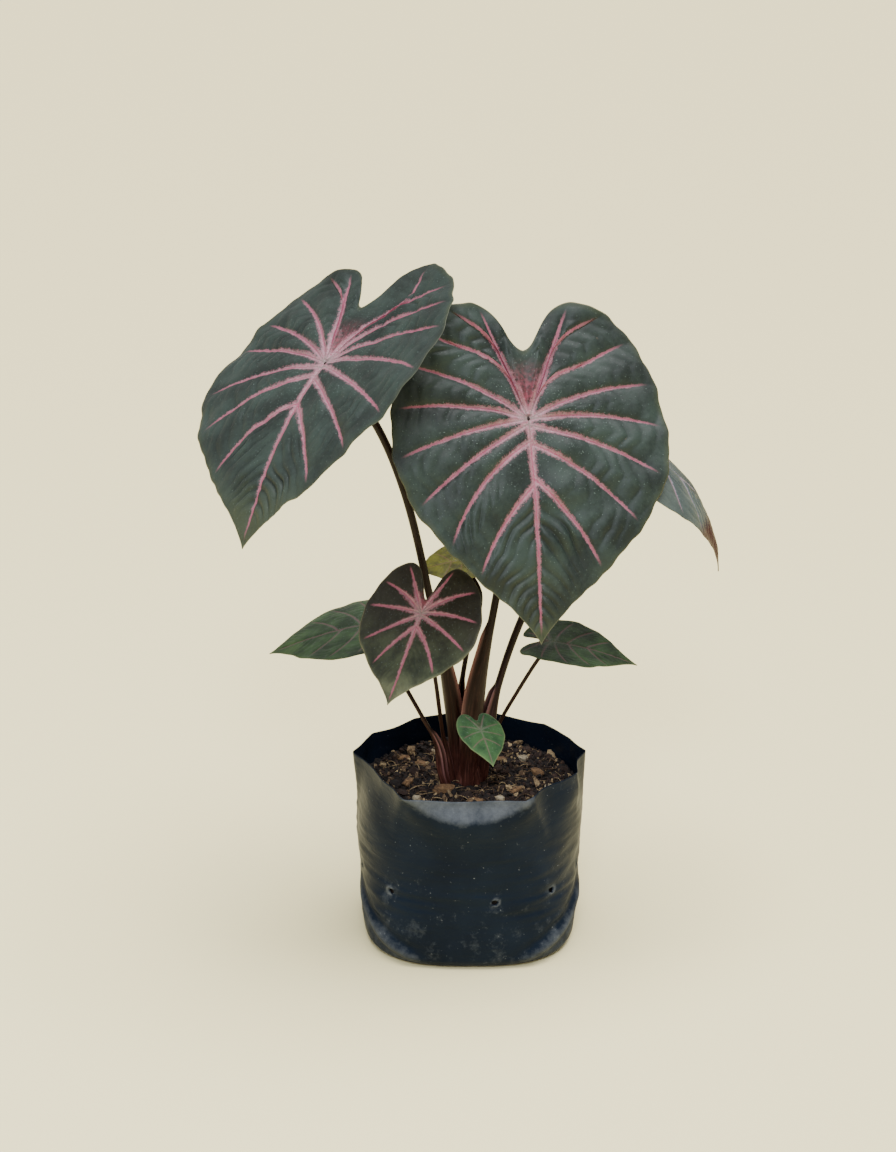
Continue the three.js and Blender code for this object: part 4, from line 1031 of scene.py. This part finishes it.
def coir_fibres(material, seed=51, count=260, sides=4, rings=7):
    """Short coir fibres: thin four-sided tubes along gentle parabolas laid on the mix."""
    draw = np.random.default_rng(seed)
    x, y = scatter_discs(draw, count, 66)
    turn = draw.uniform(0, 2 * math.pi, count)
    length = draw.uniform(5, 16, count)
    t = np.linspace(-0.5, 0.5, rings)[None, :]
    bow = draw.uniform(-0.5, 0.5, count)[:, None] * length[:, None] * t ** 2
    px = x[:, None] + np.cos(turn)[:, None] * length[:, None] * t - np.sin(turn)[:, None] * bow
    py = y[:, None] + np.sin(turn)[:, None] * length[:, None] * t + np.cos(turn)[:, None] * bow
    inside = np.minimum(1, 69 / np.maximum(np.hypot(px, py), 1e-6))
    px, py = px * inside, py * inside
    arch = draw.uniform(0.2, 2.2, count)[:, None] * (1 - 4 * t ** 2)
    line = np.stack([px, py, mix_level(px, py) + 0.9 + arch], -1)
    tangent = np.gradient(line, axis=1)
    tangent /= np.maximum(np.linalg.norm(tangent, axis=-1, keepdims=True), 1e-9)
    side = np.cross(tangent, UP)
    side /= np.maximum(np.linalg.norm(side, axis=-1, keepdims=True), 1e-9)
    lift = np.cross(side, tangent)
    angle = np.linspace(0, 2 * math.pi, sides, endpoint=False)
    radius = draw.uniform(0.16, 0.34, count)[:, None, None, None] * np.where(
        np.abs(t) > 0.49, 0.05, 1)[..., None, None]
    ring = np.cos(angle)[:, None] * side[:, :, None] + np.sin(angle)[:, None] * lift[:, :, None]
    points = (line[:, :, None] + radius * ring).reshape(-1, 3)
    grid = np.arange(rings * sides).reshape(rings, sides)
    grid = np.concatenate([grid, grid[:, :1]], 1)
    caps = np.array([grid[0, :sides], grid[-1, :sides][::-1]])
    each = np.concatenate([grid_faces(grid, flip=True), caps])
    index = (each[None] + rings * sides * np.arange(count)[:, None, None]).reshape(-1, 4)
    tone = np.repeat(draw.uniform(0.55, 0.98, count), rings * sides)
    return new_piece("coir_fibres", points, index, material, {"tone": tone})


def loose_chunk(name, node_name, place, half, turn, material, seed, rough):
    """A broken chunk: a rounded box, whose radius is a superellipsoid's, with seeded hollows."""
    columns, rows = 56, 28
    around = np.linspace(0, 2 * math.pi, columns, endpoint=False)[None, :]
    fall = np.linspace(0, math.pi, rows)[:, None]
    ray = np.stack([np.sin(fall) * np.cos(around), np.sin(fall) * np.sin(around),
                    np.cos(fall) + 0 * around], -1)
    boxy = (np.abs(ray) ** 3.4).sum(-1) ** (-1 / 3.4)
    shape = ray * boxy[..., None] * 0.86
    hollows = undulation(ray * 10, 8, seed) + 0.6 * undulation(ray * 10, 3.2, seed + 1)
    shape = shape * (1 + rough * hollows)[..., None]
    local = shape * np.array(half, float)
    cos, sin = math.cos(math.radians(turn)), math.sin(math.radians(turn))
    x, y = place
    level = float(mix_level(np.array(x), np.array(y)))
    points = np.stack([local[..., 0] * cos - local[..., 1] * sin + x,
                       local[..., 0] * sin + local[..., 1] * cos + y,
                       local[..., 2] + level + 0.35 * half[2]], -1)
    return wrapped_piece(name, points, material, replaces=[node_name], flip=True)


# ---------------------------------------------------------------- stage

def camera():
    """A short telephoto view from a little above, aimed at the plant's middle."""
    lens = bpy.data.cameras.new("camera")
    lens.lens, lens.sensor_width = CAMERA["lens"], CAMERA["sensor"]
    view = bpy.data.objects.new("camera", lens)
    view.location = CAMERA["place"]
    view.rotation_euler = (math.radians(CAMERA["pitch"]), 0, 0)
    bpy.context.scene.collection.objects.link(view)
    bpy.context.scene.camera = view


def soft_light(name, place, aim, size, power, colour):
    """A round lamp size metres across at a place, turned to face the point it is aimed at."""
    lamp = bpy.data.lights.new(name, "AREA")
    lamp.shape, lamp.size, lamp.energy = "DISK", size, power
    lamp.color = linear(colour)[:3]
    light = bpy.data.objects.new(name, lamp)
    light.location = place
    away = np.array(place, float) - np.array(aim, float)
    light.rotation_euler = (math.acos(away[2] / np.linalg.norm(away)), 0,
                            math.atan2(away[1], away[0]) + math.pi / 2)
    bpy.context.scene.collection.objects.link(light)


def stage():
    """A plain pale floor that runs past the frame, lit by a wide overhead lamp and two fills."""
    mesh = bpy.data.meshes.new("floor")
    reach = 30.0
    mesh.from_pydata([(-reach, -reach, 0), (reach, -reach, 0), (reach, reach, 0), (-reach, reach, 0)], [],
                     [(0, 1, 2, 3)])
    floor = bpy.data.objects.new("floor", mesh)
    bpy.context.scene.collection.objects.link(floor)
    material, _, skin = new_material("floor_matt_paint")
    skin.inputs["Base Color"].default_value = linear("#fdf0b8")
    skin.inputs["Roughness"].default_value = 0.95
    skin.inputs["Specular IOR Level"].default_value = 0.1
    mesh.materials.append(material)
    world = bpy.data.worlds.new("studio")
    bpy.context.scene.world = world
    world.use_nodes = True
    sky = world.node_tree.nodes["Background"]
    sky.inputs["Color"].default_value = linear("#f6f4f0")
    sky.inputs["Strength"].default_value = 0.75
    sun = bpy.data.lights.new("skylight", "SUN")
    sun.energy, sun.angle, sun.color = 4.6, math.radians(50), linear("#fdfdff")[:3]
    light = bpy.data.objects.new("skylight", sun)
    light.rotation_euler = (math.radians(3), math.radians(7), 0)
    bpy.context.scene.collection.objects.link(light)
    soft_light("front_box", (-0.1, -1.7, 1.7), (0, 0, 0.15), 0.5, 24, "#e6efff")
    soft_light("left_box", (-1.5, -0.3, 1.2), (0, 0, 0.3), 0.6, 4, "#e6efff")


# ---------------------------------------------------------------- the plant

camera()
stage()

mature = blade_skin("blade_mature_waxy", deep="#1b2320", mid="#2c3833", olive="#3d4228", pink="#864d5d",
                    pale="#c0a8ac", under="#33302a")
mature_small = blade_skin("blade_half_grown_waxy", deep="#1d2216", mid="#3a412e", olive="#73755a",
                          pink="#84495a", pale="#bea09e", under="#33302a", strength=0.9, flush=0.85, cell=0.5)
# The rear blade's paler blue-grey palette and greyer lilac veins are partly its own colour and partly a
# painted sheen, the grazing light its face catches.
folded = blade_skin("blade_rear_waxy_with_painted_sheen", deep="#2e3937", mid="#49534f", olive="#4a5350", pink="#8a7e8c",
                    pale="#b7b9c0", under="#40231a", strength=0.6, dry_tip="#3a1f15")
plain = blade_skin("blade_lower_waxy", deep="#1d2e18", mid="#38502e", olive="#4a6029", pink="#5c5750",
                   pale="#7d8478", under="#3b3024", strength=0.4, core_green="#667064", cell=0.5)
old = blade_skin("blade_old_yellowing", deep="#46450c", mid="#76761a", olive="#80781a", pink="#6d6a36",
                 pale="#8f8a50", under="#5c5a20", strength=0.35, core_green="#72743a", cell=0.3)
young = blade_skin("blade_young_soft", deep="#2a4a2e", mid="#44683f", olive="#5f8044", pink="#6a7060",
                   pale="#93998a", under="#50583a", strength=0.35, core_green="#7d7468", cell=0.3)

# Each blade's skin, its slot, and its grid: columns between two veins, rows, and midrib stations.
BLADE_FINISH = {
    "upper_left": (mature, "mature_blade", 22, 96, 120),
    "centre": (mature, "mature_blade", 22, 96, 120),
    "right_rear": (folded, "mature_blade", 18, 72, 90),
    "front_left": (mature_small, "mature_blade", 22, 64, 70),
    "lower_left": (plain, "mature_blade", 16, 56, 60),
    "lower_right": (plain, "mature_blade", 16, 50, 60),
    "rear_small": (old, "old_blade", 14, 36, 40),
    "front_small": (young, "young_blade", 14, 36, 40),
}
stalk_skin = petiole_skin()
for number, (leaf_name, leaf) in enumerate(LEAVES.items()):
    material, slot_name, fine, rows, stations = BLADE_FINISH[leaf_name]
    blade(leaf_name, leaf, material, fine, rows, stations, seed=number + 1)
    petiole(leaf_name, leaf, stalk_skin)
crown(stalk_skin)

nursery_bag(polythene_film())

mix_look = damp_mix()
mix_body(mix_look)
DARK, BROWN, TAN, STRAW = 0.3, 0.55, 0.85, 0.95
crumbs("mix_fine_crumbs", mix_look, 41, 2600, 0.85, 0.8, (DARK, DARK, DARK, BROWN, BROWN, TAN))
crumbs("mix_coarse_crumbs", mix_look, 42, 520, 1.6, 0.6, (DARK, DARK, DARK, BROWN, BROWN, TAN))
crumbs("mix_bark_flakes", mix_look, 43, 110, 1.9, 0.35, (BROWN, TAN, STRAW))
coir_fibres(mix_look)

bark_look = bark_face("pine_bark_broken", light="#92704a", dark="#3d2818", pores=3.0, roughness=0.85)
pumice_look = bark_face("pumice_crushed", light="#b3a588", dark="#6b5e48", pores=1.0, roughness=0.95)
for number, (place, half, turn) in enumerate(BARK_CHIPS, 1):
    loose_chunk(f"bark_{number}", f"bark_chip_{number}", place, half, turn, bark_look,
                60 + number, 0.11)
for number, (place, half, turn) in enumerate(PUMICE_LUMPS, 1):
    loose_chunk(f"pumice_{number}", f"pumice_lump_{number}", place, half, turn, pumice_look,
                80 + number, 0.09)

corm_look = bark_face("corm_tunic_fibrous", light="#6b4a35", dark="#352015", pores=0.4, roughness=0.8)
root_look = bark_face("root_fleshy", light="#d8c8a6", dark="#a98f68", pores=0.3, roughness=0.7)
for label, cad_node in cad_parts.items():
    if label == "corm" or label.startswith("root_"):
        for material_slot in cad_node.material_slots:
            material_slot.material = corm_look if label == "corm" else root_look
